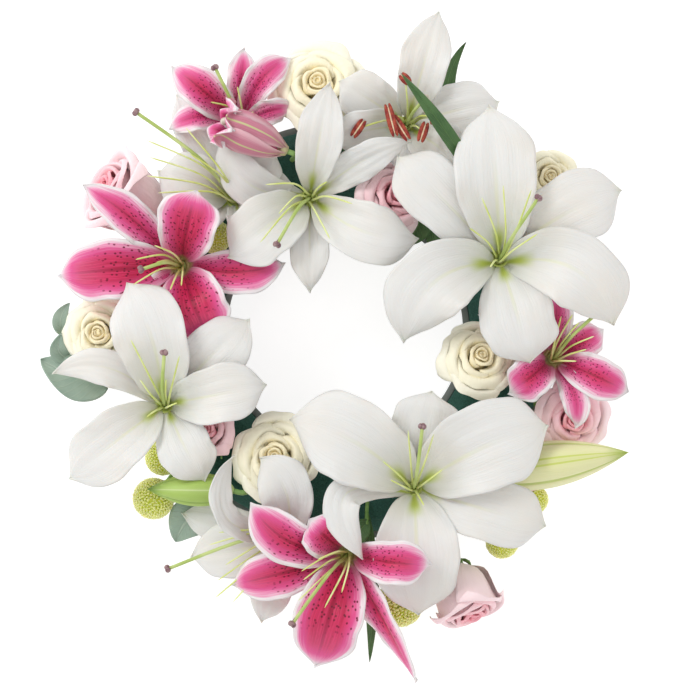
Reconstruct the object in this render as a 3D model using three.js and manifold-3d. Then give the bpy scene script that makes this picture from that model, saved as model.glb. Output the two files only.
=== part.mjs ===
// A funeral wreath: fresh lilies, roses, button chrysanthemums, buds and leaves,
// their stems pushed into a ring of wet foam that sits in a plastic tray.
// Millimetres, +Z up. Places are given from the centre of the ring, on the tray's underside.

import * as THREE from 'three';
import { ParametricGeometry } from 'three/addons/geometries/ParametricGeometry.js';
import { mergeGeometries, mergeVertices } from 'three/addons/utils/BufferGeometryUtils.js';
import Module from 'manifold-3d';

const wasm = await Module();
wasm.setup();

// Ring sizes: a twelve inch foam ring in its tray
const trayInnerRadius = 90;
const trayOuterRadius = 152;
const trayHeight = 24;
const trayWall = 2;
const trayFloor = 2;
const rimWidth = 3;
const rimDepth = 3;
const foamGap = 0.3;
const foamTop = 42;
const foamBevel = 10;
const ringSides = 28;

// Clearance between neighbours, and the thickness of what grows
const clearance = 0.35;
const smoothing = 0.1;
const petalThickness = 1.3;
const rosePetalThickness = 1.4;
const leafThickness = 1.2;

// What every lily has in its middle
const knobRadius = 2.75;
const collarInner = 3.7;
const collarOuter = 6.4;
const collarDepth = 1;
const collarTop = 3;
const clawHalfWidth = 1.6;
const rootFullness = 0.15;
const outerDrop = 5;

// Stems: how deep they go into the foam, and where they pass over the tray's rim
const stemRadius = 2;
const stemDepth = 26;
const roseStemDepth = 22;
const neckLength = 8;
const rootFromHole = 14;
const rootFromEdge = 20;
const rimReach = trayOuterRadius - 12;
const overRim = trayHeight + 7;
const stalkRadius = 1.5;

// The lily's heart
const receptacleRadius = 4.4;
const receptacleDepth = 4;
const seatGap = 0.45;
const filamentRadius = 0.7;
const filamentRing = 1.75;
const styleRadius = 0.95;
const stigmaRadius = 2.8;

// The button chrysanthemum's grid of florets
const buttonSides = 8;
const buttonRings = 6;
const hollow = 0.86;

const radians = (degrees) => THREE.MathUtils.degToRad(degrees);
const vec = ([x, y, z]) => new THREE.Vector3(x, y, z);

// A closed geometry becomes a solid once its shared corners are one
function toSolid(geometry) {
  const bare = geometry.clone();
  bare.deleteAttribute('normal');
  bare.deleteAttribute('uv');
  const merged = mergeVertices(bare, 1e-4);
  const corners = merged.index.array;
  const kept = [];
  for (let i = 0; i < corners.length; i += 3) {
    const [a, b, c] = [corners[i], corners[i + 1], corners[i + 2]];
    if (a !== b && b !== c && c !== a) kept.push(a, b, c);
  }
  const vertProperties = new Float32Array(merged.attributes.position.array);
  const mesh = new wasm.Mesh({ numProp: 3, vertProperties, triVerts: new Uint32Array(kept) });
  return new wasm.Manifold(mesh);
}

function fuse(solids) {
  return solids.slice(1).reduce((whole, piece) => whole.add(piece), solids[0]);
}

// A thin blade over a surface of s along it and w across it: thick in the middle, thin at its
// rim, with both faces split into triangles alike
function blade(surface, along, across, thickness) {
  const step = 1e-3;
  const face = (side) => new ParametricGeometry((u, v, target) => {
    const w = 2 * u - 1;
    const middle = surface(v, w);
    const onRim = v === 0 || v === 1 || Math.abs(w) === 1;
    if (!onRim) {
      const alongEdge = surface(v + step, w).sub(middle);
      const acrossEdge = surface(v, w + step).sub(middle);
      const normal = acrossEdge.cross(alongEdge).normalize();
      middle.addScaledVector(normal, side * thickness / 2);
    }
    target.copy(middle);
  }, across, along);
  const front = face(1);
  const back = face(-1);
  const index = back.index.array;
  for (let i = 0; i < index.length; i += 3) {
    [index[i], index[i + 1]] = [index[i + 1], index[i]];
  }
  return toSolid(mergeGeometries([front, back]));
}

// A many-sided rod along a curve; what is grown gets longer at both ends too
function rod(points, thickness, sides, steps, grow) {
  const radius = thickness + grow;
  const path = points.map(vec);
  const [first, second] = path;
  const [before, last] = path.slice(-2);
  const longer = (end, from) => end.clone().add(end.clone().sub(from).setLength(2 * grow));
  const ends = [longer(first, second), longer(last, before)];
  const curve = new THREE.CatmullRomCurve3([ends[0], ...path.slice(1, -1), ends[1]]);
  const outline = new THREE.Shape();
  for (let i = 0; i < sides; i += 1) {
    const angle = 2 * Math.PI * i / sides;
    const corner = [radius * Math.cos(angle), radius * Math.sin(angle)];
    if (i === 0) outline.moveTo(...corner);
    else outline.lineTo(...corner);
  }
  outline.closePath();
  const settings = { steps, extrudePath: curve, bevelEnabled: false, curveSegments: 1 };
  return toSolid(new THREE.ExtrudeGeometry(outline, settings));
}

// A body turned round the upright axis from a profile of radius and height
function lathe(profile, sides) {
  const points = profile.map(([radius, height]) => new THREE.Vector2(radius, height));
  const geometry = new THREE.LatheGeometry(points, sides);
  geometry.rotateX(Math.PI / 2);
  return toSolid(geometry);
}

// Stands a body that was made upright on its seat, leaning towards a heading
function stand(solid, seat, heading, lean) {
  const turn = new THREE.Matrix4().makeRotationZ(radians(heading));
  const tip = new THREE.Matrix4().makeRotationY(radians(lean));
  const back = new THREE.Matrix4().makeRotationZ(-radians(heading));
  const move = new THREE.Matrix4().makeTranslation(...seat);
  const whole = move.multiply(turn).multiply(tip).multiply(back);
  return solid.transform(whole.elements);
}

// The tray: a ring-shaped channel with an outward rim
function makeTray() {
  const inner = trayInnerRadius;
  const outer = trayOuterRadius;
  return lathe([
    [inner, 0],
    [outer, 0],
    [outer, trayHeight - rimDepth],
    [outer + rimWidth, trayHeight],
    [outer - trayWall, trayHeight],
    [outer - trayWall, trayFloor],
    [inner + trayWall, trayFloor],
    [inner + trayWall, trayHeight],
    [inner - rimWidth, trayHeight],
    [inner, trayHeight - rimDepth],
    [inner, 0],
  ], ringSides);
}

// The foam ring stands in the tray and rises above it with bevelled shoulders
function makeFoam() {
  const inner = trayInnerRadius + trayWall + foamGap;
  const outer = trayOuterRadius - trayWall - foamGap;
  const bottom = trayFloor + foamGap;
  return lathe([
    [inner, bottom],
    [outer, bottom],
    [outer, foamTop - foamBevel],
    [outer - foamBevel, foamTop],
    [inner + foamBevel, foamTop],
    [inner, foamTop - foamBevel],
    [inner, bottom],
  ], ringSides);
}

// The surface of a lily petal. It climbs out of the throat, arches over a crest and falls to
// its tip. Heading, reach and bow are seen from above; crest and tip are heights over the seat.
function lilySurface([heading, reach, width, crest, tip, bow = 0, roll = 0], seat, inner) {
  const [arch, swell, cupDepth, curl] = [1.28, 0.62, 0.6, 0.22];
  const [grooveDepth, grooveWidth, rippleDepth] = [1.6, 0.3, 1.5];
  const root = collarOuter - 1;
  const narrow = clawHalfWidth;
  const drop = inner ? 0 : outerDrop;
  const angle = radians(heading);
  const middle = (s) => {
    const t = (s + 0.5 * s * s) / 1.5;
    const out = root * (1 - t) + reach * t;
    const aside = 2 * t * (1 - t) * bow;
    const [h1, h2, h3] = [crest - drop, arch * crest - drop, tip];
    const rest = 1 - s;
    const height = 0.5 * rest ** 3 + 3 * rest * rest * s * h1 + 3 * rest * s * s * h2 + s ** 3 * h3;
    return new THREE.Vector3(
      seat[0] + out * Math.cos(angle) - aside * Math.sin(angle),
      seat[1] + out * Math.sin(angle) + aside * Math.cos(angle),
      seat[2] + height,
    );
  };
  return (s, w) => {
    const point = middle(s);
    const tangent = middle(s + 1e-3).sub(middle(s - 1e-3)).normalize();
    const across = new THREE.Vector3(-tangent.y, tangent.x, 0).normalize();
    across.applyAxisAngle(tangent, radians(roll) * Math.min(1, s * 1.5));
    const normal = tangent.clone().cross(across);
    const fullness = s < swell
      ? Math.sin(Math.PI / 2 * s / swell) ** 1.4
      : 1 - ((s - swell) / (1 - swell)) ** 2.2;
    const half = narrow + (width / 2 - narrow) * fullness;
    const cup = cupDepth * (1 - s) ** 1.5 - curl * s * s;
    const groove = grooveDepth * Math.sin(Math.PI * s) * Math.exp(-((w / grooveWidth) ** 2));
    const ripple = rippleDepth * Math.sin(9 * s + 2 * w + heading) * w * w * s;
    point.addScaledVector(across, w * half);
    point.addScaledVector(normal, half * cup * w * w - groove + ripple);
    return point;
  };
}

// Six petals grown together in a short collar: three broad inner ones over three outer ones
function makeLilyPetals({ seat, petals }, grow) {
  const collar = lathe([
    [collarInner - grow, -collarDepth - grow],
    [collarOuter + grow, -collarDepth - grow],
    [collarOuter + grow, collarTop + grow],
    [collarInner - grow, collarTop + grow],
    [collarInner - grow, -collarDepth - grow],
  ], 6).translate(seat);
  const blades = petals.map((petal, i) => {
    const inner = i < 3;
    const wide = [...petal];
    wide[1] += grow;
    wide[2] += 2 * grow;
    const surface = lilySurface(wide, seat, inner);
    return blade(surface, 5, 2, petalThickness + 2 * grow);
  });
  return fuse([collar, ...blades]);
}

// Where a stem ends in the foam: near its flower, but inside the ring
function stemRoot([x, y, z], depth) {
  const distance = Math.hypot(x, y);
  const nearest = trayInnerRadius + rootFromHole;
  const farthest = trayOuterRadius - rootFromEdge;
  const inside = Math.min(Math.max(distance, nearest), farthest);
  return [x * inside / distance, y * inside / distance, foamTop - depth];
}

function makeStem(seat, axis, depth, grow) {
  const root = stemRoot(seat, depth);
  const top = vec(seat);
  const neck = top.clone().addScaledVector(axis, -neckLength);
  const end = vec(root);
  const entry = end.clone().lerp(neck, 0.45);
  if (Math.hypot(entry.x, entry.y) > rimReach) entry.z = Math.max(entry.z, overRim);
  const points = [top, neck, entry, end].map((point) => point.toArray());
  return rod(points, stemRadius, 4, 2, grow);
}

// A lily's green heart: stem, receptacle, six filaments and the style with its stigma
function makeLilyHeart({ seat, stamens, pistil }, grow) {
  const upright = new THREE.Vector3(0, 0, 1);
  const under = [seat[0], seat[1], seat[2] - receptacleDepth];
  const stem = makeStem(under, upright, stemDepth, grow);
  const receptacle = lathe([
    [0, -receptacleDepth - collarDepth - grow],
    [stemRadius + grow, -receptacleDepth - collarDepth - grow],
    [receptacleRadius + grow, -collarDepth - seatGap + grow],
    [knobRadius + grow, -collarDepth - seatGap + grow],
    [knobRadius + grow, collarTop + grow],
    [0, collarTop + grow],
  ], 5).translate(seat);
  const path = ([heading, reach, rise], root, ring) => {
    const angle = radians(heading);
    const spread = radians(ring);
    const end = [reach * Math.cos(angle), reach * Math.sin(angle)];
    const start = [root * Math.cos(spread), root * Math.sin(spread)];
    const over = -1.5 * root * Math.cos(spread - angle);
    const at = (share, lean, height) => [
      seat[0] + start[0] * share + end[0] * lean,
      seat[1] + start[1] * share + end[1] * lean,
      seat[2] + height,
    ];
    return [at(1, 0, 1), at(1.4, 0.03, 14 + over), at(1.6, 0.34, rise * 0.82 + over), at(0, 1, rise)];
  };
  const aside = ([heading]) => (heading - pistil[0] + 540) % 360 - 180;
  const inOrder = [...stamens].sort((a, b) => aside(a) - aside(b));
  const threads = inOrder.map((stamen, i) => (
    rod(path(stamen, filamentRing, pistil[0] - 150 + 60 * i), filamentRadius, 3, 2, grow)
  ));
  const stylePath = path(pistil, 0, 0);
  const style = rod(stylePath, styleRadius, 4, 2, grow);
  const stigma = toSolid(new THREE.OctahedronGeometry(stigmaRadius + grow, 0))
    .translate(stylePath[3]);
  return fuse([stem, receptacle, ...threads, style, stigma]);
}

// A petal wrapped round its bud: it follows the profile of radius and height as it climbs
function wrappedSurface(profile, turn, span, crown, tuck) {
  const curve = new THREE.CatmullRomCurve3(profile.map(([r, h]) => new THREE.Vector3(r, h, 0)));
  return (s, w) => {
    const clamped = Math.min(Math.max(s, 0), 1);
    const rounding = crown * w * w * s * s;
    const place = curve.getPoint(clamped);
    const beyond = curve.getTangent(clamped).multiplyScalar((s - clamped) * 30);
    place.add(beyond);
    const fullness = rootFullness + (1 - rootFullness) * Math.sin(Math.PI * (0.05 + 0.75 * s));
    const angle = radians(turn + w * span * fullness);
    const radius = place.x + tuck * w;
    return new THREE.Vector3(
      radius * Math.cos(angle),
      radius * Math.sin(angle),
      place.y - rounding,
    );
  };
}

// A rose head: a rolled heart and overlapping petals whose rims roll outwards
function makeRoseHead({ seat, heading, lean, radius, height, rings }, grow) {
  const r = radius;
  const h = height;
  const core = lathe([
    [0, 0],
    [0.3 * r + grow, 0],
    [0.42 * r + grow, 0.36 * h],
    [0.34 * r + grow, 0.72 * h],
    [0.18 * r + grow, 0.9 * h + grow],
    [0, 0.84 * h + grow],
  ], 6);
  const layers = [
    { count: 2, out: 0.5, top: 0.98, span: 80, start: 20, flare: 0.02, low: 0.34 },
    { count: 3, out: 0.72, top: 0.92, span: 70, start: 65, flare: 0.1, low: 0.18 },
    { count: 4, out: 0.92, top: 0.78, span: 54, start: 20, flare: 0.16, low: 0.05 },
  ].slice(0, rings);
  const petals = layers.flatMap(({ count, out, top, span, start, flare, low }) => (
    Array.from({ length: count }, (_, i) => {
      const turn = start + 360 * i / count;
      const profile = [
        [(0.24 + 0.4 * low) * r, low * h],
        [0.82 * out * r, (low + 0.2) * h],
        [out * r, 0.75 * top * h],
        [(out + flare) * r, top * h],
      ];
      const surface = wrappedSurface(profile, turn, span, 0.2 * h, 0.06 * r);
      return blade(surface, 2, 3, rosePetalThickness + 2 * grow);
    })
  ));
  return stand(fuse([core, ...petals]), seat, heading, lean);
}

// The rose's green calyx under the head, on its stem
function makeRoseStem({ seat, heading, lean, radius, leaf }, grow) {
  const axis = new THREE.Vector3(0, 0, 1);
  axis.applyAxisAngle(new THREE.Vector3(0, 1, 0), radians(lean));
  axis.applyAxisAngle(new THREE.Vector3(0, 0, 1), radians(heading));
  const calyx = stand(lathe([
    [0, -9 - grow],
    [2.5 + grow, -9 - grow],
    [0.26 * radius + grow, -clearance - 0.6 + grow],
    [0, -clearance - 0.6 + grow],
  ], 6), seat, heading, lean);
  const neck = vec(seat).addScaledVector(axis, -4);
  const parts = [calyx, makeStem(neck.toArray(), axis, roseStemDepth, grow)];
  if (leaf) {
    const wider = { ...leaf, width: leaf.width + 2 * grow };
    parts.push(blade(leafSurface(wider, neck), 5, 2, leafThickness + 2 * grow));
  }
  return fuse(parts);
}

// A button chrysanthemum: a low dome whose florets stand out as knobs, on its stem
function makeButton({ seat, radius }, grow) {
  const dome = new THREE.SphereGeometry(radius, buttonSides, buttonRings);
  const place = dome.attributes.position;
  for (let i = 0; i < place.count; i += 1) {
    const ring = Math.floor(i / (buttonSides + 1));
    const spoke = i % (buttonSides + 1) % buttonSides;
    const pole = ring === 0 || ring === buttonRings;
    const stands = (ring + spoke) % 2 === 0 || pole;
    const scale = (stands ? 1 : hollow) + grow / radius;
    const [x, y, z] = [place.getX(i) * scale, place.getY(i) * scale, place.getZ(i) * scale];
    place.setXYZ(i, x, -z, y * (y > 0 ? 0.72 : 0.6));
  }
  return toSolid(dome).translate(seat);
}

// Two or one buttons on a shared stalk
function makeButtonSpray({ root, heads }, grow) {
  const parts = heads.flatMap((head) => {
    const [x, y, z] = head.seat;
    const inside = [x, y, z - head.radius * 0.3];
    const bend = [x * 0.7 + root[0] * 0.3, y * 0.7 + root[1] * 0.3, z - head.radius - 2];
    return [makeButton(head, grow), rod([inside, bend, root], stalkRadius, 4, 2, grow)];
  });
  return fuse(parts);
}

// A closed lily bud with its three ribs, on its stalk
function makeBud({ base, tip, radius, root }, grow) {
  const length = vec(tip).distanceTo(vec(base));
  const sides = 9;
  const body = new THREE.LatheGeometry([
    [0, 0],
    [0.4, 0.02],
    [0.78, 0.18],
    [1, 0.42],
    [0.86, 0.66],
    [0.5, 0.86],
    [0, 1],
  ].map(([r, h]) => new THREE.Vector2(r * (radius + grow), h * (length + grow))), sides);
  body.rotateX(Math.PI / 2);
  const place = body.attributes.position;
  for (let i = 0; i < place.count; i += 1) {
    const angle = Math.atan2(place.getY(i), place.getX(i));
    const rib = 1 + 0.07 * Math.cos(3 * angle);
    place.setXYZ(i, place.getX(i) * rib, place.getY(i) * rib, place.getZ(i));
  }
  const axis = vec(tip).sub(vec(base)).normalize();
  const turn = new THREE.Quaternion().setFromUnitVectors(new THREE.Vector3(0, 0, 1), axis);
  const whole = new THREE.Matrix4().compose(vec(base), turn, new THREE.Vector3(1, 1, 1));
  const inside = vec(base).addScaledVector(axis, 4).toArray();
  const bend = vec(base).addScaledVector(axis, -10).toArray();
  const stalk = rod([inside, bend, root], stemRadius, 4, 3, grow);
  return fuse([toSolid(body).transform(whole.elements), stalk]);
}

// The half-open pink lily bud: six petals wrapped round its axis, their tips turning out
function makeOpeningPetals({ base, heading, lean, length, radius }, grow) {
  const petals = Array.from({ length: 6 }, (_, i) => {
    const inner = i % 2 === 0;
    const size = inner ? 0.92 : 1;
    const profile = [
      [2.4, 0],
      [radius * 0.8 * size, length * 0.3],
      [radius * size, length * 0.68],
      [radius * 0.9 * size + (inner ? 1 : 3), length * (inner ? 0.96 : 1.04)],
    ];
    const surface = wrappedSurface(profile, i * 60, inner ? 44 : 40, 10, 0.8);
    return blade(surface, 4, 2, petalThickness + 2 * grow);
  });
  const cup = lathe([
    [0, 0],
    [3.4 + grow, 0],
    [5 + grow, 5],
    [0, 5],
  ], 6);
  return stand(fuse([cup, ...petals]), base, heading, lean);
}

// Its stalk bends down into the foam
function makeOpeningStem({ base, heading, lean }, grow) {
  const axis = new THREE.Vector3(0, 0, 1);
  axis.applyAxisAngle(new THREE.Vector3(0, 1, 0), radians(lean));
  axis.applyAxisAngle(new THREE.Vector3(0, 0, 1), radians(heading));
  const end = vec(base).addScaledVector(axis, -clearance).toArray();
  return makeStem(end, axis, stemDepth, grow);
}

// A leaf along three points with a raised fold down its middle and a waved edge
function leafSurface({ points, width, fold = 0.25, wave = 1, tilt = 0 }, root) {
  const curve = new THREE.QuadraticBezierCurve3(root, ...points.map(vec));
  return (s, w) => {
    const clamped = Math.min(Math.max(s, 0), 1);
    const point = curve.getPoint(clamped);
    const tangent = curve.getTangent(clamped);
    point.addScaledVector(tangent, (s - clamped) * 60);
    const across = new THREE.Vector3(-tangent.y, tangent.x, 0).normalize();
    across.applyAxisAngle(tangent, radians(tilt));
    const normal = tangent.clone().cross(across);
    const half = width / 2 * Math.max(0.08, Math.sin(Math.PI * (0.06 + 0.91 * s ** 0.85)));
    point.addScaledVector(across, w * half);
    point.addScaledVector(normal, half * fold * Math.abs(w) + wave * Math.sin(8 * s + w) * w * w);
    return point;
  };
}

// Leaves on one stalk that goes into the foam
function makeSprig({ leaves, stalk }, grow) {
  const curve = new THREE.CatmullRomCurve3(stalk.map(vec));
  const blades = leaves.map((leaf) => {
    const wider = { ...leaf, width: leaf.width + 2 * grow };
    const foot = curve.getPointAt(leaf.from);
    const ahead = vec(leaf.points[0]).sub(foot).normalize();
    foot.addScaledVector(ahead, -stalkRadius);
    return blade(leafSurface(wider, foot), 5, 2, leafThickness + 2 * grow);
  });
  return fuse([rod(stalk, stalkRadius, 4, 4, grow), ...blades]);
}

// The white lilies. Each petal: heading, reach, width, crest, tip height, bow, roll.
// The first three petals are the inner ones. Stamens and pistil: heading, reach, rise.
const whiteLilies = [
  {
    seat: [-26, 96, 55],
    petals: [
      [79, 81, 34, 48, 48], [339, 84, 42, 44, 32, -20], [217, 72, 46, 44, 34],
      [28, 82, 28, 43, 44, 6, 30], [271, 68, 28, 37, 28], [146, 76, 32, 34, 24, 34, -20],
    ],
    stamens: [[167, 31, 54], [225, 48, 55], [34, 16, 54], [348, 32, 54], [213, 25, 54], [296, 35, 52]],
    pistil: [238, 42, 58],
  },
  {
    seat: [45, 150, 50],
    petals: [
      [74, 82, 36, 42, 36], [194, 60, 32, 42, 40, 0, -20], [320, 57, 38, 38, 34],
      [13, 67, 38, 36, 28], [150, 57, 36, 36, 36], [256, 34, 22, 30, 28],
    ],
    stamens: [[190, 36, 48], [183, 12, 52], [4, 19, 52], [94, 29, 50], [320, 14, 50], [230, 8, 50]],
    pistil: [50, 20, 52],
  },
  {
    seat: [112, 52, 60],
    petals: [
      [95, 108, 58, 48, 40], [221, 92, 54, 46, 30, -36], [329, 94, 54, 46, 30, 38],
      [136, 103, 46, 46, 42], [29, 98, 52, 44, 34, 10], [285, 78, 54, 40, 30],
    ],
    stamens: [[110, 44, 54], [90, 50, 54], [67, 51, 54], [140, 31, 54], [33, 29, 54], [220, 12, 54]],
    pistil: [59, 48, 60],
  },
  {
    seat: [50, -114, 58],
    petals: [
      [151, 102, 60, 46, 38, -18], [26, 105, 62, 46, 42, 12], [272, 91, 62, 32, 24],
      [80, 71, 48, 36, 36], [344, 98, 46, 40, 30], [233, 62, 26, 44, 42, -75],
    ],
    stamens: [[97, 43, 54], [72, 42, 54], [138, 31, 54], [38, 24, 54], [157, 19, 54], [300, 12, 54]],
    pistil: [84, 46, 60],
  },
  {
    seat: [-131, -54, 56],
    petals: [
      [106, 91, 52, 48, 42, -14], [218, 86, 46, 40, 24], [11, 76, 42, 44, 38],
      [164, 82, 26, 40, 26, -30], [45, 87, 42, 42, 32], [298, 62, 40, 36, 24],
    ],
    stamens: [[114, 51, 54], [69, 38, 54], [77, 19, 56], [127, 23, 56], [10, 12, 54], [220, 12, 54]],
    pistil: [85, 38, 60],
  },
  {
    seat: [-81, 96, 50],
    petals: [
      [160, 57, 42, 26, 22], [48, 46, 34, 26, 22], [290, 30, 20, 28, 24],
      [119, 86, 30, 24, 10], [212, 44, 26, 24, 18], [10, 44, 30, 24, 24],
    ],
    stamens: [[147, 72, 48], [155, 64, 48], [167, 62, 46], [178, 52, 47], [124, 58, 48], [135, 42, 48]],
    pistil: [139, 90, 52],
  },
  {
    seat: [-41, -153, 48],
    petals: [
      [190, 72, 40, 18, 10], [108, 64, 38, 38, 44, -20], [310, 26, 18, 24, 22],
      [166, 80, 28, 18, 3], [252, 62, 28, 22, 14], [122, 74, 22, 50, 44, 52, 50],
    ],
    stamens: [[217, 65, 38], [208, 57, 40], [181, 56, 40], [171, 50, 40], [199, 47, 42], [227, 58, 38]],
    pistil: [192, 88, 42],
  },
];

// The open pink lilies, given as the white ones are
const pinkLilies = [
  {
    seat: [-77, 152, 46],
    petals: [
      [141, 61, 30, 38, 30], [50, 58, 24, 36, 32, 10], [265, 24, 18, 26, 20],
      [85, 51, 22, 34, 32], [188, 50, 22, 38, 30, -12, 20], [12, 40, 20, 36, 32, 0, 30],
    ],
    stamens: [[150, 22, 46], [90, 22, 46], [20, 12, 46]],
    pistil: [114, 39, 50],
  },
  {
    seat: [-120, 47, 54],
    petals: [
      [185, 86, 44, 38, 34], [74, 54, 44, 50, 56], [292, 60, 48, 36, 26],
      [140, 88, 28, 42, 42, -8], [1, 76, 32, 32, 28, -12], [235, 50, 28, 34, 26],
    ],
    stamens: [[174, 29, 50], [177, 14, 52], [206, 34, 50], [257, 19, 50], [283, 16, 50], [140, 20, 52]],
    pistil: [190, 25, 56],
  },
  {
    seat: [1, -163, 54],
    petals: [
      [254, 83, 50, 40, 22], [150, 79, 34, 42, 46, 20], [356, 60, 32, 54, 50],
      [194, 85, 34, 38, 30], [299, 104, 30, 36, 24, 0, 65], [134, 38, 34, 46, 44],
    ],
    stamens: [[221, 45, 50], [206, 34, 50], [195, 33, 52], [246, 38, 50], [262, 24, 52], [180, 20, 52]],
    pistil: [230, 60, 54],
  },
  {
    seat: [152, -20, 50],
    petals: [
      [335, 58, 30, 34, 26], [217, 42, 32, 34, 30], [90, 48, 24, 32, 26],
      [31, 40, 26, 28, 24], [151, 63, 24, 30, 26], [286, 52, 20, 32, 27, 10, 20],
    ],
    stamens: [[70, 33, 36], [84, 30, 37], [58, 30, 37], [30, 31, 36], [16, 22, 38], [350, 14, 40]],
    pistil: [47, 50, 38],
  },
];

// Roses: seat under the head, heading and lean of its axis, size, and rings of petals
const pinkRoses = [
  { seat: [-138, 84, 41], heading: 150, lean: 62, radius: 33, height: 52, rings: 3 },
  { seat: [25, 93, 47], heading: 20, lean: 24, radius: 25, height: 38, rings: 3 },
  { seat: [161, -62, 36], heading: 330, lean: 10, radius: 25, height: 36, rings: 3 },
  { seat: [80, -172, 48], heading: 290, lean: 68, radius: 26, height: 44, rings: 3 },
  { seat: [-93, -86, 44], heading: 120, lean: 30, radius: 22, height: 36, rings: 2 },
  { seat: [132, -101, 36], heading: 330, lean: 20, radius: 16, height: 22, rings: 2 },
];
const creamRoses = [
  { seat: [-171, -3, 40], heading: 170, lean: 12, radius: 26, height: 40, rings: 3 },
  { seat: [-47, -94, 46], heading: 140, lean: 8, radius: 30, height: 38, rings: 3 },
  { seat: [91, -30, 47], heading: 57, lean: 24, radius: 27, height: 38, rings: 3 },
  { seat: [143, 106, 44], heading: 40, lean: 12, radius: 24, height: 38, rings: 2 },
  {
    seat: [-19, 168, 44], heading: 95, lean: 16, radius: 32, height: 44, rings: 3,
    leaf: { points: [[-4, 130, 60], [24, 132, 66]], width: 18, wave: 0 },
  },
];

// Lime button chrysanthemums, grouped by the spray they grow on
const buttonSprays = [
  {
    root: [-108, -80, 28],
    heads: [{ seat: [-140, -123, 50], radius: 15 }, { seat: [-133, -93, 50], radius: 13 }],
  },
  {
    root: [-76, 78, 28],
    heads: [{ seat: [-95, 68, 52], radius: 12 }, { seat: [-52, 65, 52], radius: 9 }],
  },
  { root: [44, 88, 28], heads: [{ seat: [30, 66, 50], radius: 11 }] },
  { root: [26, -136, 28], heads: [{ seat: [40, -200, 46], radius: 17 }] },
  {
    root: [100, -102, 28],
    heads: [{ seat: [115, -155, 46], radius: 12 }, { seat: [138, -124, 42], radius: 11 }],
  },
];

const buds = [
  { base: [-80, -116, 65], tip: [-143, -115, 72], radius: 12, root: [-72, -92, 30] },
  { base: [98, -104, 72], tip: [204, -88, 82], radius: 17, root: [92, -88, 30] },
];
const openingLily = { base: [-42, 128, 94], heading: 158, lean: 74, length: 54, radius: 16 };

// Leaves on their stalks
const sprigs = {
  eucalyptus_left: {
    stalk: [[-206, 4, 48], [-204, -18, 44], [-186, -38, 36], [-138, -38, 24]],
    leaves: [
      { from: 0.6, points: [[-196, -37, 50], [-223, -21, 44]], width: 34, wave: 3 },
      { from: 0.25, points: [[-214, -18, 52], [-206, -2, 60]], width: 14 },
      { from: 0.06, points: [[-212, 8, 56], [-200, 20, 60]], width: 12 },
    ],
  },
  eucalyptus_lower: {
    stalk: [[-104, -132, 43], [-98, -124, 41], [-84, -108, 26]],
    leaves: [
      { from: 0.06, points: [[-118, -136, 48], [-124, -155, 42]], width: 30, wave: 2 },
      { from: 0.25, points: [[-92, -132, 49], [-88, -146, 47]], width: 26 },
    ],
  },
  lily_leaves_top: {
    stalk: [[94, 106, 94], [98, 106, 70], [94, 102, 48], [86, 92, 26]],
    leaves: [
      { from: 0.06, points: [[71, 144, 116], [40, 182, 106]], width: 11, fold: 0.4, wave: 0 },
      { from: 0.5, points: [[55, 165, 62], [88, 209, 68]], width: 14, fold: 0.3 },
    ],
  },
  dark_leaves_inner: {
    stalk: [[54, 88, 50], [57, 93, 44], [62, 101, 26]],
    leaves: [
      { from: 0.06, points: [[56, 74, 56], [42, 62, 50]], width: 22, wave: 0 },
      { from: 0.25, points: [[66, 74, 54], [64, 58, 50]], width: 16, wave: 0 },
    ],
  },
  dark_leaves_lower: {
    stalk: [[16, -142, 54], [16, -130, 46], [18, -114, 26]],
    leaves: [
      { from: 0.06, points: [[8, -146, 60], [8, -162, 56]], width: 14, wave: 0 },
      { from: 0.25, points: [[22, -190, 50], [18, -244, 40]], width: 11, wave: 0 },
    ],
  },
};

// Material of each kind of piece
const finishes = {
  tray: { color: 0x4d5452, roughness: 0.5, metalness: 0 },
  foam: { color: 0x2f5a4c, roughness: 0.95, metalness: 0 },
  whitePetal: { color: 0xf4f1ec, roughness: 0.6, metalness: 0 },
  pinkPetal: { color: 0xd23f72, roughness: 0.6, metalness: 0 },
  heart: { color: 0xb4c95a, roughness: 0.6, metalness: 0 },
  pinkRose: { color: 0xf0c3c6, roughness: 0.65, metalness: 0 },
  creamRose: { color: 0xf3e8c4, roughness: 0.65, metalness: 0 },
  stem: { color: 0x5f8a3a, roughness: 0.6, metalness: 0 },
  lime: { color: 0xb9d233, roughness: 0.8, metalness: 0 },
  bud: { color: 0xcfd976, roughness: 0.5, metalness: 0 },
  leaf: { color: 0x3f6b3a, roughness: 0.6, metalness: 0 },
};

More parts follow.
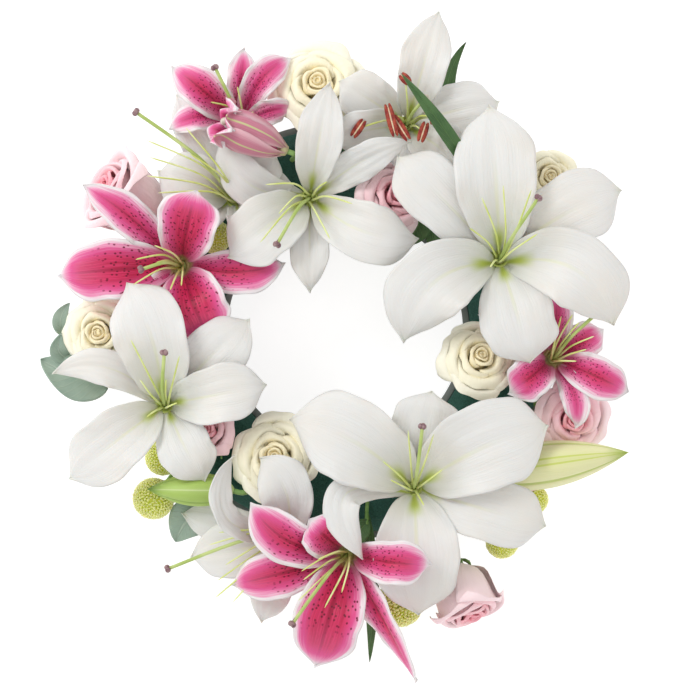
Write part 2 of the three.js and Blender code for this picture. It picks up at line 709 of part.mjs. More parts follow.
// Every growing piece, those that keep their whole shape first
function listPieces() {
  const pieces = [];
  const put = (name, finish, seat, make) => pieces.push({ name, finish, seat, make });
  const lily = (name, finish, flower) => {
    put(`${name}_petals`, finish, flower.seat, (grow) => makeLilyPetals(flower, grow));
  };
  const heart = (name, flower) => {
    put(`${name}_heart`, 'heart', flower.seat, (grow) => makeLilyHeart(flower, grow));
  };
  whiteLilies.forEach((flower, i) => heart(`white_lily_${i + 1}`, flower));
  pinkLilies.forEach((flower, i) => heart(`pink_lily_${i + 1}`, flower));
  [3, 2, 4, 0].forEach((i) => lily(`white_lily_${i + 1}`, 'whitePetal', whiteLilies[i]));
  pinkLilies.forEach((flower, i) => lily(`pink_lily_${i + 1}`, 'pinkPetal', flower));
  [1, 6, 5].forEach((i) => lily(`white_lily_${i + 1}`, 'whitePetal', whiteLilies[i]));
  const roses = (name, finish, list) => list.forEach((rose, i) => {
    put(`${name}_${i + 1}_head`, finish, rose.seat, (grow) => makeRoseHead(rose, grow));
    put(`${name}_${i + 1}_stem`, 'stem', rose.seat, (grow) => makeRoseStem(rose, grow));
  });
  roses('pink_rose', 'pinkRose', pinkRoses);
  roses('cream_rose', 'creamRose', creamRoses);
  const { base } = openingLily;
  put('pink_lily_bud_petals', 'pinkPetal', base, (grow) => makeOpeningPetals(openingLily, grow));
  put('pink_lily_bud_stem', 'stem', base, (grow) => makeOpeningStem(openingLily, grow));
  buds.forEach((bud, i) => put(`lily_bud_${i + 1}`, 'bud', bud.base, (grow) => makeBud(bud, grow)));
  buttonSprays.forEach((spray, i) => {
    const { seat } = spray.heads[0];
    put(`chrysanthemum_spray_${i + 1}`, 'lime', seat, (grow) => makeButtonSpray(spray, grow));
  });
  for (const [name, sprig] of Object.entries(sprigs)) {
    put(name, 'leaf', sprig.stalk[0], (grow) => makeSprig(sprig, grow));
  }
  return pieces;
}

function boxesMeet(a, b) {
  return [0, 1, 2].every((k) => a.min[k] < b.max[k] && b.min[k] < a.max[k]);
}

// The largest body of a cut piece; loose scraps are dropped
function mainBody(solid) {
  const bodies = solid.decompose();
  bodies.sort((a, b) => b.volume() - a.volume());
  return bodies[0];
}

// Each piece gives way to those before it, so that neighbours touch nowhere
function fitPieces(pieces) {
  const guards = [];
  for (const piece of pieces) {
    const whole = piece.make(0);
    let solid = whole;
    for (const guard of guards) {
      if (boxesMeet(solid.boundingBox(), guard.box)) solid = solid.subtract(guard.solid);
    }
    piece.solid = mainBody(mainBody(solid).simplify(smoothing));
    const grown = piece.make(clearance);
    guards.push({ solid: grown, box: grown.boundingBox() });
  }
  return guards;
}

function addMesh(group, { name, finish, seat, solid }) {
  const { vertProperties, triVerts, numProp } = solid.getMesh();
  const geometry = new THREE.BufferGeometry();
  const corners = new Float32Array(vertProperties.length / numProp * 3);
  for (let i = 0; i < corners.length / 3; i += 1) {
    for (let k = 0; k < 3; k += 1) {
      corners[3 * i + k] = vertProperties[i * numProp + k] - seat[k];
    }
  }
  geometry.setAttribute('position', new THREE.BufferAttribute(corners, 3));
  geometry.setIndex(Array.from(triVerts));
  geometry.computeVertexNormals();
  const mesh = new THREE.Mesh(geometry, new THREE.MeshStandardMaterial(finishes[finish]));
  mesh.name = name;
  mesh.position.set(...seat);
  group.add(mesh);
}

// The wreath, moved so that the middle of its underside is at the origin
function makeWreath() {
  const wreath = new THREE.Group();
  const pieces = listPieces();
  const guards = fitPieces(pieces);
  let foam = makeFoam();
  for (const guard of guards) {
    if (boxesMeet(foam.boundingBox(), guard.box)) foam = foam.subtract(guard.solid);
  }
  const middle = [0, 0, 0];
  addMesh(wreath, { name: 'tray', finish: 'tray', seat: middle, solid: makeTray() });
  foam = mainBody(foam).simplify(smoothing);
  addMesh(wreath, { name: 'foam', finish: 'foam', seat: middle, solid: foam });
  pieces.forEach((piece) => addMesh(wreath, piece));
  const box = new THREE.Box3().setFromObject(wreath);
  const centre = box.getCenter(new THREE.Vector3());
  wreath.position.set(-centre.x, -centre.y, 0);
  return wreath;
}

export default makeWreath();
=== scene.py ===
# %% [markdown]
# # A funeral wreath of lilies and roses
# The wreath lies flat and is seen from straight above: white and pink lilies, roses, button
# chrysanthemums, buds and leaves, their stems pushed into a ring of wet foam in a tray.
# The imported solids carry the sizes. Each flower here is a finer piece that stands where its
# solid stands and keeps its form.

# %% Load the solids that everything is fitted to
import math
import random

import bmesh
import bpy
from mathutils import Matrix, Quaternion, Vector


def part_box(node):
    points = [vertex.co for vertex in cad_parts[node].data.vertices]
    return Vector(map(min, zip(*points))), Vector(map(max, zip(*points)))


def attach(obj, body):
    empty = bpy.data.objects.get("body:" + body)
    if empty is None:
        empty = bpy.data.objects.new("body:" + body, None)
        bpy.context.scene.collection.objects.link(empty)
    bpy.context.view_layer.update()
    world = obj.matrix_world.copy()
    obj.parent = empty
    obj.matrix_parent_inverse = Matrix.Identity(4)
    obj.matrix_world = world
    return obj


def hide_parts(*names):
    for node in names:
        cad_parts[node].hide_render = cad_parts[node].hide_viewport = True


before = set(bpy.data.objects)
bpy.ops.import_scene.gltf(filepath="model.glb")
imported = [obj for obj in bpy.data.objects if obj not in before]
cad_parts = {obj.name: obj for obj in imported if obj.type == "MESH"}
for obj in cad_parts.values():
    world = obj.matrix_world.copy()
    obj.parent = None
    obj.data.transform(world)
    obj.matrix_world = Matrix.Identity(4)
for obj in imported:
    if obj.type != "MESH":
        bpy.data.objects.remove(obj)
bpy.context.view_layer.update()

# %% [markdown]
# Places are given in millimetres from the centre of the ring, on the tray's underside, as a
# florist would measure them. The tray's own box says where that centre lies in the model. The
# centre could be typed in too, but a box that is read stays right when the solids move.

# %% Ring centre and units
MM = 0.001
tray_low, tray_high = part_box("tray")
RING = Vector(((tray_low.x + tray_high.x) / 2, (tray_low.y + tray_high.y) / 2, 0))
print("ring centre:", [round(v, 4) for v in RING])

# %% [markdown]
# The camera looks straight down from two metres through a long lens, so that the flowers at
# the rim lean away no more than they do in the photograph. A flat, orthographic camera would
# be simpler, but it loses that slight lean. At the height of the blooms one pixel of the square
# picture covers 0.72 mm.

# %% Camera
BLOOM_HEIGHT, CAMERA_DISTANCE, FRAME_WIDTH, SENSOR = 80, 2000, 504, 36
PICTURE_MIDDLE = (3.6, -14.4)
camera_data = bpy.data.cameras.new("camera")
camera_data.sensor_width = SENSOR
camera_data.lens = SENSOR * CAMERA_DISTANCE / FRAME_WIDTH
camera = bpy.data.objects.new("camera", camera_data)
camera.location = RING + MM * Vector((*PICTURE_MIDDLE, BLOOM_HEIGHT + CAMERA_DISTANCE))
bpy.context.scene.collection.objects.link(camera)
bpy.context.scene.camera = camera
print("lens:", round(camera_data.lens, 1), "mm")

# %% [markdown]
# Petals are lit by a soft window of light from above and the left, with a dim one opposite, as
# on a photographer's white table, and the sky fills the folds. The table is pure white in the
# photograph. A sky bright enough for that would bleach the petals, so the floor glows a little
# by itself and still takes a soft shadow.

# %% Light and floor
def window(name, place, size, power):
    light = bpy.data.lights.new(name, "AREA")
    light.shape, light.size, light.energy = "DISK", size, power
    lamp = bpy.data.objects.new(name, light)
    lamp.location = place
    lamp.rotation_euler = (-Vector(place)).to_track_quat("-Z", "Y").to_euler()
    bpy.context.scene.collection.objects.link(lamp)


window("window_left", (-1.3, 1.0, 1.4), size=0.9, power=18)
window("window_right", (1.4, -0.6, 1.6), size=1.4, power=3)
world = bpy.data.worlds.new("studio")
world.use_nodes = True
world.node_tree.nodes["Background"].inputs["Color"].default_value = (1, 0.99, 0.975, 1)
world.node_tree.nodes["Background"].inputs["Strength"].default_value = 0.82
bpy.context.scene.world = world
bpy.context.scene.view_settings.view_transform = "Standard"


def plain_floor():
    bm = bmesh.new()
    bmesh.ops.create_grid(bm, x_segments=1, y_segments=1, size=4)
    mesh = bpy.data.meshes.new("floor")
    bm.to_mesh(mesh)
    bm.free()
    floor = bpy.data.objects.new("floor", mesh)
    bpy.context.scene.collection.objects.link(floor)
    paper = bpy.data.materials.new("white_table")
    paper.use_nodes = True
    shader = paper.node_tree.nodes["Principled BSDF"]
    shader.inputs["Base Color"].default_value = (0.5, 0.5, 0.505, 1)
    shader.inputs["Roughness"].default_value = 0.9
    shader.inputs["Emission Color"].default_value = (1, 1, 1, 1)
    shader.inputs["Emission Strength"].default_value = 0.74
    mesh.materials.append(paper)


plain_floor()
print("windows: 2, floor laid")

# %% [markdown]
# Every finish is a small graph of nodes. The graphs could be drawn by hand in the shader
# editor, but written out they can be read and changed like a recipe. A short helper makes a
# node, joins what it is given, and hands back the socket that comes out.

# %% A material's graph
class Finish:
    """A principled material and the few kinds of node that petals and leaves need."""

    def __init__(self, name, roughness, subsurface=0.0, sheen=0.0):
        self.material = bpy.data.materials.new(name)
        self.material.use_nodes = True
        self.tree = self.material.node_tree
        self.shader = self.tree.nodes["Principled BSDF"]
        self.shader.inputs["Roughness"].default_value = roughness
        self.shader.inputs["Subsurface Weight"].default_value = subsurface
        self.shader.inputs["Subsurface Radius"].default_value = (0.004, 0.003, 0.0025)
        self.shader.inputs["Subsurface Scale"].default_value = 0.6
        self.shader.inputs["Sheen Weight"].default_value = sheen
        self.shader.inputs["Specular IOR Level"].default_value = 0.35

    def node(self, kind, *inputs, **settings):
        node = self.tree.nodes.new(kind)
        for key, value in settings.items():
            setattr(node, key, value)
        for socket, value in zip(node.inputs, inputs):
            self.feed(socket, value)
        return node

    def feed(self, socket, value):
        if isinstance(value, bpy.types.NodeSocket):
            self.tree.links.new(value, socket)
        elif value is not None:
            socket.default_value = value

    def layer(self, name):
        return self.node("ShaderNodeAttribute", attribute_name=name).outputs["Fac"]

    def place(self):
        return self.node("ShaderNodeTexCoord").outputs["Object"]

    def maths(self, operation, a, b=0.0):
        return self.node("ShaderNodeMath", a, b, operation=operation).outputs[0]

    def times(self, a, b):
        return self.maths("MULTIPLY", a, b)

    def off_middle(self):
        return self.maths("ABSOLUTE", self.layer("across"))

    def fade(self, value, low, high, at_low=0.0, at_high=1.0):
        node = self.node("ShaderNodeMapRange", value, low, high, at_low, at_high)
        node.interpolation_type = "SMOOTHSTEP"
        return node.outputs[0]

    def vector(self, x, y, z=0.0):
        return self.node("ShaderNodeCombineXYZ", x, y, z).outputs[0]

    def noise(self, vector, scale, detail=2.0):
        node = self.node("ShaderNodeTexNoise")
        self.feed(node.inputs["Vector"], vector)
        node.inputs["Scale"].default_value = scale
        node.inputs["Detail"].default_value = detail
        return node.outputs["Fac"]

    def streaks(self, across, along, scale):
        """Noise that is drawn out lengthwise: fine across a petal and slow along it."""
        run = self.vector(
            self.times(self.layer("across"), across), self.times(self.layer("along"), along))
        return self.noise(run, scale, 3)

    def mix(self, share, a, b):
        node = self.node("ShaderNodeMix", data_type="RGBA")
        self.feed(node.inputs["Factor"], share)
        self.feed(node.inputs[6], a)
        self.feed(node.inputs[7], b)
        return node.outputs[2]

    def colour(self, socket):
        self.feed(self.shader.inputs["Base Color"], socket)

    def bump(self, height, depth):
        node = self.node("ShaderNodeBump")
        node.inputs["Distance"].default_value = depth
        self.feed(node.inputs["Height"], height)
        self.tree.links.new(node.outputs["Normal"], self.shader.inputs["Normal"])


def rgb(red, green, blue):
    return (red, green, blue, 1.0)


print("layers a graph can read: along, across, rim, depth")

# %% [markdown]
# Each petal carries four layers of its own for these graphs to read: how far along it a point
# lies, how far across, how many millimetres from its rim, and how far out in its flower. Colour
# then follows the petal however it bends. A petal could be sculpted, or cut from a subdivided
# plane by hand. A grid bent by a function is chosen, because its faces stay even and every
# petal, leaf and sepal can share it.

# %% Petal meshes
MEASURES = ("along", "across", "rim", "depth")
CROWDING = 1.25  # rows of faces lie closer towards the tip


def petal_bed():
    """An empty bmesh whose points carry the petal's own measures."""
    bm = bmesh.new()
    for name in MEASURES:
        bm.verts.layers.float.new(name)
    return bm


def measure(bm, vert, **values):
    for name, value in values.items():
        vert[bm.verts.layers.float[name]] = value


def add_petal(bm, surface, half_width, length, rows, columns, depth=1.0):
    """Bends a grid over a surface of s along it and w across it."""
    made = bmesh.ops.create_grid(bm, x_segments=columns, y_segments=rows, size=1)
    for vert in made["verts"]:
        w = vert.co.x
        t = (vert.co.y + 1) / 2
        s = 1 - (1 - t) ** CROWDING
        side = (1 - abs(w)) * half_width(s)
        measure(bm, vert, along=s, across=w, rim=min(side, (1 - s) * length), depth=depth)
        vert.co = surface(s, w)


print("measures on each petal:", len(MEASURES))

# %% [markdown]
# A finished piece is planted: scaled from millimetres to metres, moved to the ring, and named
# as standing for its solid. Its place goes into the mesh and its object stays at the origin, as
# the solids' objects do. Petals get their wall from a Solidify modifier, which keeps the sheet
# itself simple to bend.

# %% Planting a piece
def plant(bm, name, slot, node, finishes, thickness=0.0, under=False):
    """Sets a finished bmesh in its place and lets it stand for its solid."""
    bmesh.ops.scale(bm, vec=(MM, MM, MM), verts=bm.verts)
    bmesh.ops.translate(bm, vec=RING, verts=bm.verts)
    for face in bm.faces:
        face.smooth = True
    mesh = bpy.data.meshes.new(name)
    bm.to_mesh(mesh)
    bm.free()
    for finish in finishes:
        mesh.materials.append(finish)
    piece = bpy.data.objects.new(name, mesh)
    bpy.context.scene.collection.objects.link(piece)
    if thickness:
        wall = piece.modifiers.new("thickness", "SOLIDIFY")
        wall.thickness = thickness * MM
        wall.offset = 0
        wall.material_offset = 1 if under else 0
    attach(piece, "root")
    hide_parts(node)
    return piece


print("ready to plant", len(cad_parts), "pieces")

# %% [markdown]
# Stems, filaments and styles are one round cap that is extruded from point to point along a
# path, turned and narrowed a little at each step. A curve with a bevel would do it too. The
# extruded cap is chosen, because it is a closed mesh that can share a piece with others.

# %% Stems and threads
def smooth_path(points, steps):
    """A smooth run through a few points, each span a cubic that keeps the direction at its ends."""
    points = [Vector(point) for point in points]
    ends = [points[0]] + points + [points[-1]]
    path = []
    for before, start, end, after in zip(ends, ends[1:], ends[2:], ends[3:]):
        lead_in, lead_out = (end - before) / 2, (after - start) / 2
        for i in range(steps):
            t = i / steps
            a, b = 2 * t**3 - 3 * t**2 + 1, t**3 - 2 * t**2 + t
            c, d = 3 * t**2 - 2 * t**3, t**3 - t**2
            path.append(a * start + b * lead_in + c * end + d * lead_out)
    path.append(points[-1])
    return path


def grow_cap(bm, cap, there, inside):
    """Extrudes a cap and moves the new one; an old cap that lies inside is removed."""
    grown = bmesh.ops.extrude_face_region(bm, geom=[cap])["geom"]
    fresh = next(item for item in grown if isinstance(item, bmesh.types.BMFace))
    bmesh.ops.transform(bm, matrix=there, verts=fresh.verts)
    if inside:
        bmesh.ops.delete(bm, geom=[cap], context="FACES_ONLY")
    return fresh


def add_stem(bm, path, radii, sides=8, finish=0):
    """A round stem along a path, with one radius for each point."""
    tangents = [(b - a).normalized() for a, b in zip(path, path[1:])]
    tangents.append(tangents[-1])
    upright = Vector((0, 0, 1)).rotation_difference(tangents[0]).to_matrix().to_4x4()
    start = Matrix.Translation(path[0]) @ upright
    ring = bmesh.ops.create_circle(bm, cap_ends=True, segments=sides, radius=radii[0], matrix=start)
    cap = ring["verts"][0].link_faces[0]
    cap.material_index = finish
    for i in range(1, len(path)):
        bend = tangents[i - 1].rotation_difference(tangents[i]).to_matrix().to_4x4()
        narrow = Matrix.Scale(radii[i] / radii[i - 1], 4)
        there = Matrix.Translation(path[i]) @ bend @ narrow @ Matrix.Translation(-path[i - 1])
        cap = grow_cap(bm, cap, there, i > 1)


def taper(count, thick, thin, tip=True):
    """Radii that run from thick to thin, and close at the tip."""
    radii = [thick + (thin - thick) * i / (count - 1) for i in range(count)]
    if tip:
        radii[-1] = 0.3 * thin
    return radii


def close_up(bm):
    bmesh.ops.recalc_face_normals(bm, faces=bm.faces)


def thicken(bm, thickness):
    """Gives the open sheets that are in the bmesh so far a wall."""
    bmesh.ops.solidify(bm, geom=list(bm.faces), thickness=thickness)


print("points on a smooth path of four:", len(smooth_path([(0, 0, 0)] * 4, 6)))

# %% [markdown]
# ## Lilies
# A lily has six petals in two whorls of three, the outer ones under the inner. Each rises
# from the throat, arches over a crest and falls back to its tip. It is cupped at the throat
# and grooved down the middle, and its margin is waved. Each could be posed by hand. One
# function bends them all from a few measures instead, because a row of numbers is easily
# fitted to the photograph.

# %% The lily petal's surface
COLLAR, CLAW, OUTER_DROP, BLUNT = 5.4, 1.6, 5, 3.4
# Shares of the petal's length: where it is widest, where it nods, and where its tip closes
WIDEST, NODDING, CLOSING = 0.62, 0.84, 0.9


def lily_petal(row, seat, inner):
    """The petal's surface and half width, from one row of the table below."""
    heading, reach, width, crest, tip, bow, roll, blunt = row + (0, 0, BLUNT)[len(row) - 5:]
    angle = math.radians(heading)
    drop = 0 if inner else OUTER_DROP
    seat = Vector(seat)

    def middle(s):
        t = (s + 0.5 * s * s) / 1.5
        out = COLLAR * (1 - t) + reach * t
        aside = 2 * t * (1 - t) * bow
        rest = 1 - s
        height = 0.5 * rest**3 + 3 * rest * rest * s * (crest - drop)
        height += 3 * rest * s * s * (1.28 * crest - drop) + s**3 * tip
        x = out * math.cos(angle) - aside * math.sin(angle)
        y = out * math.sin(angle) + aside * math.cos(angle)
        height -= 4 * max(0, (s - NODDING) / (1 - NODDING)) ** 2
        return seat + Vector((x, y, height))

    def half_width(s):
        if s < WIDEST:
            fullness = math.sin(math.pi / 2 * s / WIDEST) ** 0.82
        else:
            fullness = 1 - ((s - WIDEST) / (1 - WIDEST)) ** blunt
        half = CLAW + (width / 2 - CLAW) * fullness
        if s > CLOSING:
            half *= math.sqrt(max(0.004, 1 - ((s - CLOSING) / (1 - CLOSING)) ** 2))
        return half

    def surface(s, w):
        tangent = (middle(s + 0.001) - middle(s - 0.001)).normalized()
        across = Vector((-tangent.y, tangent.x, 0)).normalized()
        across = Quaternion(tangent, math.radians(roll) * min(1, 1.5 * s)) @ across
        normal = tangent.cross(across)
        side = 2 if w > 0 else 0
        edge = 1 + 0.06 * s * math.sin(10 * s + heading + side)
        edge += 0.03 * s * math.sin(24 * s + 2 * heading + side)
        half = half_width(s) * edge
        cup = (0.6 if inner else 0.2) * max(0, 1 - s) ** 1.5 - 0.22 * s * s
        arch = math.sin(math.pi * s)
        groove = 2.0 * arch * math.exp(-((w / 0.26) ** 2))
        side_groove = 0.8 * arch * math.exp(-(((abs(w) - 0.46) / 0.14) ** 2))
        ripple = 1.9 * math.sin(9 * s + 2 * w + heading) * w * w * s
        frill = arch * math.sin(26 * s + 5 * w + 2 * heading) * abs(w) ** 5
        lift = half * cup * w * w - groove - side_groove + ripple + frill
        return middle(s) + across * (w * half) + normal * lift

    return surface, half_width


print("a lily petal is widest at", WIDEST, "of its length")

# %% [markdown]
# The table below gives every lily: its seat in the ring, six petals, six filaments and the
# pistil. A petal is its heading, reach, width, crest, tip height, sideways bow, roll and how
# blunt its tip is, the three inner ones first. A filament is its heading, reach and rise.

# %% Lily tables
WHITE_LILIES = [
    dict(seat=(-26, 96, 55), petals=[
        (79, 81, 34, 48, 48, 0, 0, 1.7), (339, 84, 42, 44, 32, -20), (217, 72, 46, 44, 34),
        (28, 82, 28, 43, 44, 6, 30, 1.7), (271, 68, 28, 37, 28, 0, 0, 2.2),
        (146, 76, 32, 34, 24, 34, -20)],
        stamens=[(167, 31, 54), (225, 48, 55), (34, 16, 54),
                 (348, 32, 54), (213, 25, 54), (296, 35, 52)],
        pistil=(238, 42, 58)),
    dict(seat=(45, 150, 50), petals=[
        (74, 82, 36, 42, 36, 0, 0, 1.9), (194, 60, 32, 42, 40, 0, -20, 1.9), (320, 57, 38, 38, 34),
        (13, 67, 38, 36, 28, 0, 0, 6), (150, 57, 36, 36, 36), (256, 34, 22, 30, 28)],
        stamens=[(190, 36, 48), (183, 12, 52), (4, 19, 52),
                 (94, 29, 50), (320, 14, 50), (230, 8, 50)],
        pistil=(50, 20, 52)),
    dict(seat=(112, 52, 60), petals=[
        (95, 108, 58, 48, 40), (221, 92, 54, 46, 30, -36), (329, 94, 54, 46, 30, 38),
        (136, 103, 46, 46, 42, 0, 0, 5.5), (29, 98, 52, 44, 34, 10, 0, 4.5),
        (285, 78, 54, 40, 30, 0, 0, 5)],
        stamens=[(110, 44, 54), (90, 50, 54), (67, 51, 54),
                 (140, 31, 54), (33, 29, 54), (220, 12, 54)],
        pistil=(59, 48, 60)),
    dict(seat=(50, -114, 58), petals=[
        (151, 102, 60, 46, 38, -18), (26, 105, 62, 46, 42, 12, 0, 5), (272, 91, 62, 32, 24),
        (80, 71, 48, 36, 36, 0, 0, 5), (344, 98, 46, 40, 30, 0, 0, 5), (233, 62, 26, 44, 42, -75)],
        stamens=[(97, 43, 54), (72, 42, 54), (138, 31, 54),
                 (38, 24, 54), (157, 19, 54), (300, 12, 54)],
        pistil=(84, 46, 60)),
    dict(seat=(-131, -54, 56), petals=[
        (106, 91, 52, 48, 42, -14), (218, 86, 46, 40, 24), (11, 76, 42, 44, 38),
        (164, 82, 26, 40, 26, -30, 0, 2), (45, 87, 42, 42, 32, 0, 0, 4.5), (298, 62, 40, 36, 24)],
        stamens=[(114, 51, 54), (69, 38, 54), (77, 19, 56),
                 (127, 23, 56), (10, 12, 54), (220, 12, 54)],
        pistil=(85, 38, 60)),
    dict(seat=(-81, 96, 50), petals=[
        (160, 57, 42, 26, 22), (48, 46, 34, 26, 22), (290, 30, 20, 28, 24),
        (119, 86, 30, 24, 10), (212, 44, 26, 24, 18), (10, 44, 30, 20, 20)],
        stamens=[(147, 72, 48), (155, 64, 48), (167, 62, 46),
                 (178, 52, 47), (124, 58, 48), (135, 42, 48)],
        pistil=(139, 90, 52)),
    dict(seat=(-41, -153, 48), petals=[
        (190, 72, 40, 18, 10), (108, 64, 38, 38, 44, -20), (310, 26, 18, 24, 22),
        (166, 80, 28, 18, 3), (252, 62, 28, 22, 14), (122, 74, 22, 50, 44, 52, 50)],
        stamens=[(217, 65, 38), (208, 57, 40), (181, 56, 40),
                 (171, 50, 40), (199, 47, 42), (227, 58, 38)],
        pistil=(192, 88, 42)),
]
PINK_LILIES = [
    dict(seat=(-77, 152, 46), petals=[
        (141, 61, 30, 38, 30, 0, 0, 2.4), (50, 58, 24, 36, 32, 10), (265, 24, 18, 26, 20),
        (85, 51, 22, 34, 32, 0, 0, 2.4), (188, 50, 22, 38, 30, -12, 20),
        (12, 40, 20, 36, 32, 0, 30)],
        stamens=[(150, 22, 46), (90, 22, 46), (20, 12, 46)],
        pistil=(114, 39, 50)),
    dict(seat=(-120, 47, 54), petals=[
        (185, 86, 44, 38, 34), (74, 54, 44, 50, 56), (292, 60, 48, 36, 26),
        (140, 88, 28, 42, 42, -8, 0, 2.2), (1, 76, 32, 32, 28, -12), (235, 50, 28, 34, 26)],
        stamens=[(174, 29, 50), (177, 14, 52), (206, 34, 50),
                 (257, 19, 50), (283, 16, 50), (140, 20, 52)],
        pistil=(190, 25, 56)),
    dict(seat=(1, -163, 54), petals=[
        (254, 83, 50, 40, 22), (150, 79, 34, 42, 46, 20, 0, 2.6), (356, 60, 32, 54, 50),
        (194, 85, 34, 38, 30), (299, 104, 30, 36, 24, 0, 65, 2.2), (134, 38, 34, 46, 44)],
        stamens=[(221, 45, 50), (206, 34, 50), (195, 33, 52),
                 (246, 38, 50), (262, 24, 52), (180, 20, 52)],
        pistil=(230, 60, 54)),
    dict(seat=(152, -20, 50), petals=[
        (335, 58, 30, 34, 26), (217, 42, 32, 34, 30), (90, 48, 24, 32, 26),
        (31, 40, 26, 28, 24), (151, 63, 24, 30, 26), (286, 52, 20, 32, 27, 10, 20)],
        stamens=[(70, 33, 36), (84, 30, 37), (58, 30, 37),
                 (30, 31, 36), (16, 22, 38), (350, 14, 40)],
        pistil=(47, 50, 38)),
]
print("lilies:", len(WHITE_LILIES) + len(PINK_LILIES))

# %% [markdown]
# The white petal is never flat white. It is green-yellow in the throat, has a faint green
# midrib, fine veins that run its whole length, and warmer and cooler patches. A picture of a
# petal could be laid on it. Mixed noise is chosen, because it stays sharp and no two petals
# are alike.

# %% White petal finish
def white_petal_finish():
    finish = Finish("white_lily_petal", 0.5, subsurface=0.25, sheen=0.06)
    along, off_middle = finish.layer("along"), finish.off_middle()
    veins = finish.streaks(16, 1.6, 1.6)
    body = finish.mix(veins, rgb(0.72, 0.715, 0.695), rgb(0.79, 0.79, 0.78))
    patches = finish.fade(finish.noise(finish.place(), 22), 0.4, 0.7, 0, 0.6)
    body = finish.mix(patches, body, rgb(0.76, 0.73, 0.68))
    midrib = finish.fade(off_middle, 0.01, 0.09, 1, 0)
    midrib = finish.times(finish.fade(along, 0.3, 0.8, 0.5, 0), midrib)
    body = finish.mix(midrib, body, rgb(0.72, 0.74, 0.48))
    groove = finish.fade(off_middle, 0.1, 0.5, 1, 0)
    groove = finish.times(finish.fade(along, 0.1, 0.27, 1, 0), groove)
    body = finish.mix(finish.times(groove, 0.9), body, rgb(0.46, 0.56, 0.06))
    body = finish.mix(finish.fade(along, 0.0, 0.06, 0.7, 0), body, rgb(0.62, 0.7, 0.22))
    tip = finish.fade(along, 0.95, 1.0)
    finish.colour(finish.mix(finish.times(tip, 0.25), body, rgb(0.7, 0.75, 0.5)))
    finish.bump(veins, 0.0004)
    return finish.material


WHITE_PETAL = white_petal_finish()
print("finish:", WHITE_PETAL.name)

# %% [markdown]
# The pink petal is crimson along its middle, dark on the midrib, and fades in streaks to a
# white margin about three millimetres wide. Dark spots crowd its lower two thirds. They could be
# little beads, but they are too flat for that, so they are the middles of a pattern of cells.

# %% Pink petal finish
def pink_petal_finish():
    finish = Finish("pink_lily_petal", 0.42, subsurface=0.15, sheen=0.05)
    along, across, rim = finish.layer("along"), finish.layer("across"), finish.layer("rim")
    off_middle = finish.off_middle()
    veins = finish.streaks(12, 2, 1.5)
    ragged = finish.maths("ADD", rim, finish.times(finish.maths("SUBTRACT", veins, 0.5), 8))
    ragged = finish.maths("ADD", ragged, finish.fade(along, 0.12, 0.4, 4, 0))
    blush = finish.mix(finish.fade(veins, 0.3, 0.7), rgb(0.46, 0.008, 0.06), rgb(0.66, 0.03, 0.13))
    blush = finish.mix(finish.fade(off_middle, 0.015, 0.09, 0.8, 0), blush, rgb(0.33, 0.004, 0.045))
    blush = finish.mix(finish.fade(along, 0.55, 1.0, 0, 0.4), blush, rgb(0.8, 0.2, 0.4))
    blush = finish.mix(finish.fade(ragged, 5, 15), rgb(0.72, 0.09, 0.3), blush)
    body = finish.mix(finish.fade(ragged, 2.4, 8.5), rgb(0.84, 0.4, 0.57), blush)
    body = finish.mix(finish.fade(ragged, 0.9, 4.6), rgb(0.84, 0.8, 0.81), body)
    cells = finish.node("ShaderNodeTexVoronoi", voronoi_dimensions="2D")
    grid = finish.vector(finish.times(across, 6), finish.times(along, 17))
    finish.feed(cells.inputs["Vector"], grid)
    cells.inputs["Scale"].default_value = 1.0
    spots = finish.fade(cells.outputs["Distance"], 0.12, 0.22, 1, 0)
    where = finish.times(finish.fade(along, 0.6, 0.78, 1, 0), finish.fade(rim, 2.5, 5))
    body = finish.mix(finish.times(spots, where), body, rgb(0.16, 0.0, 0.025))
    body = finish.mix(finish.fade(along, 0.03, 0.1, 0.8, 0), body, rgb(0.6, 0.6, 0.2))
    finish.colour(body)
    finish.bump(veins, 0.0006)
    return finish.material


PINK_PETAL = pink_petal_finish()
print("finish:", PINK_PETAL.name)

# %% [markdown]
# The six petals of a lily are one piece, held by a short collar at the receptacle, as on the
# flower. They could be six pieces, but on the real lily too they fall as one when it fades.

# %% Lay the lily petals
PETAL_ROWS, PETAL_COLUMNS = 44, 24


def lay_lily_petals(name, flower, slot, finish):
    bm = petal_bed()
    for i, row in enumerate(flower["petals"]):
        surface, half_width = lily_petal(row, flower["seat"], i < 3)
        add_petal(bm, surface, half_width, row[1], PETAL_ROWS, PETAL_COLUMNS)
    collar = Matrix.Translation(Vector(flower["seat"]) + Vector((0, 0, 1)))
    bmesh.ops.create_cone(
        bm, cap_ends=False, segments=24, radius1=4.2, radius2=6.2, depth=4, matrix=collar)
    return plant(bm, name, slot, name, [finish], thickness=0.8)


for i, flower in enumerate(WHITE_LILIES):
    lay_lily_petals(f"white_lily_{i + 1}_petals", flower, "white_petal", WHITE_PETAL)
for i, flower in enumerate(PINK_LILIES):
    lay_lily_petals(f"pink_lily_{i + 1}_petals", flower, "pink_petal", PINK_PETAL)
print("lily petals laid:", 6 * (len(WHITE_LILIES) + len(PINK_LILIES)))

# %% [markdown]
# In the middle of each lily stands its heart: the receptacle on its stem, six filaments and a
# longer style with a three-lobed stigma. The florist has picked the pollen sacs off, as they
# stain; only one white lily keeps them, brick red with a cream seam. Stems and hearts need only
# a mottle of two colours, so one function makes all their finishes.

# %% Heart finishes
def plain_finish(name, dark, light, roughness, scale=60, depth=0.0003, subsurface=0.0):
    """A living surface with a soft mottle of two colours."""
    finish = Finish(name, roughness, subsurface=subsurface)
    mottle = finish.noise(finish.place(), scale, 4)
    finish.colour(finish.mix(finish.fade(mottle, 0.35, 0.65), dark, light))
    finish.bump(finish.noise(finish.place(), 4 * scale, 2), depth)
    return finish.material


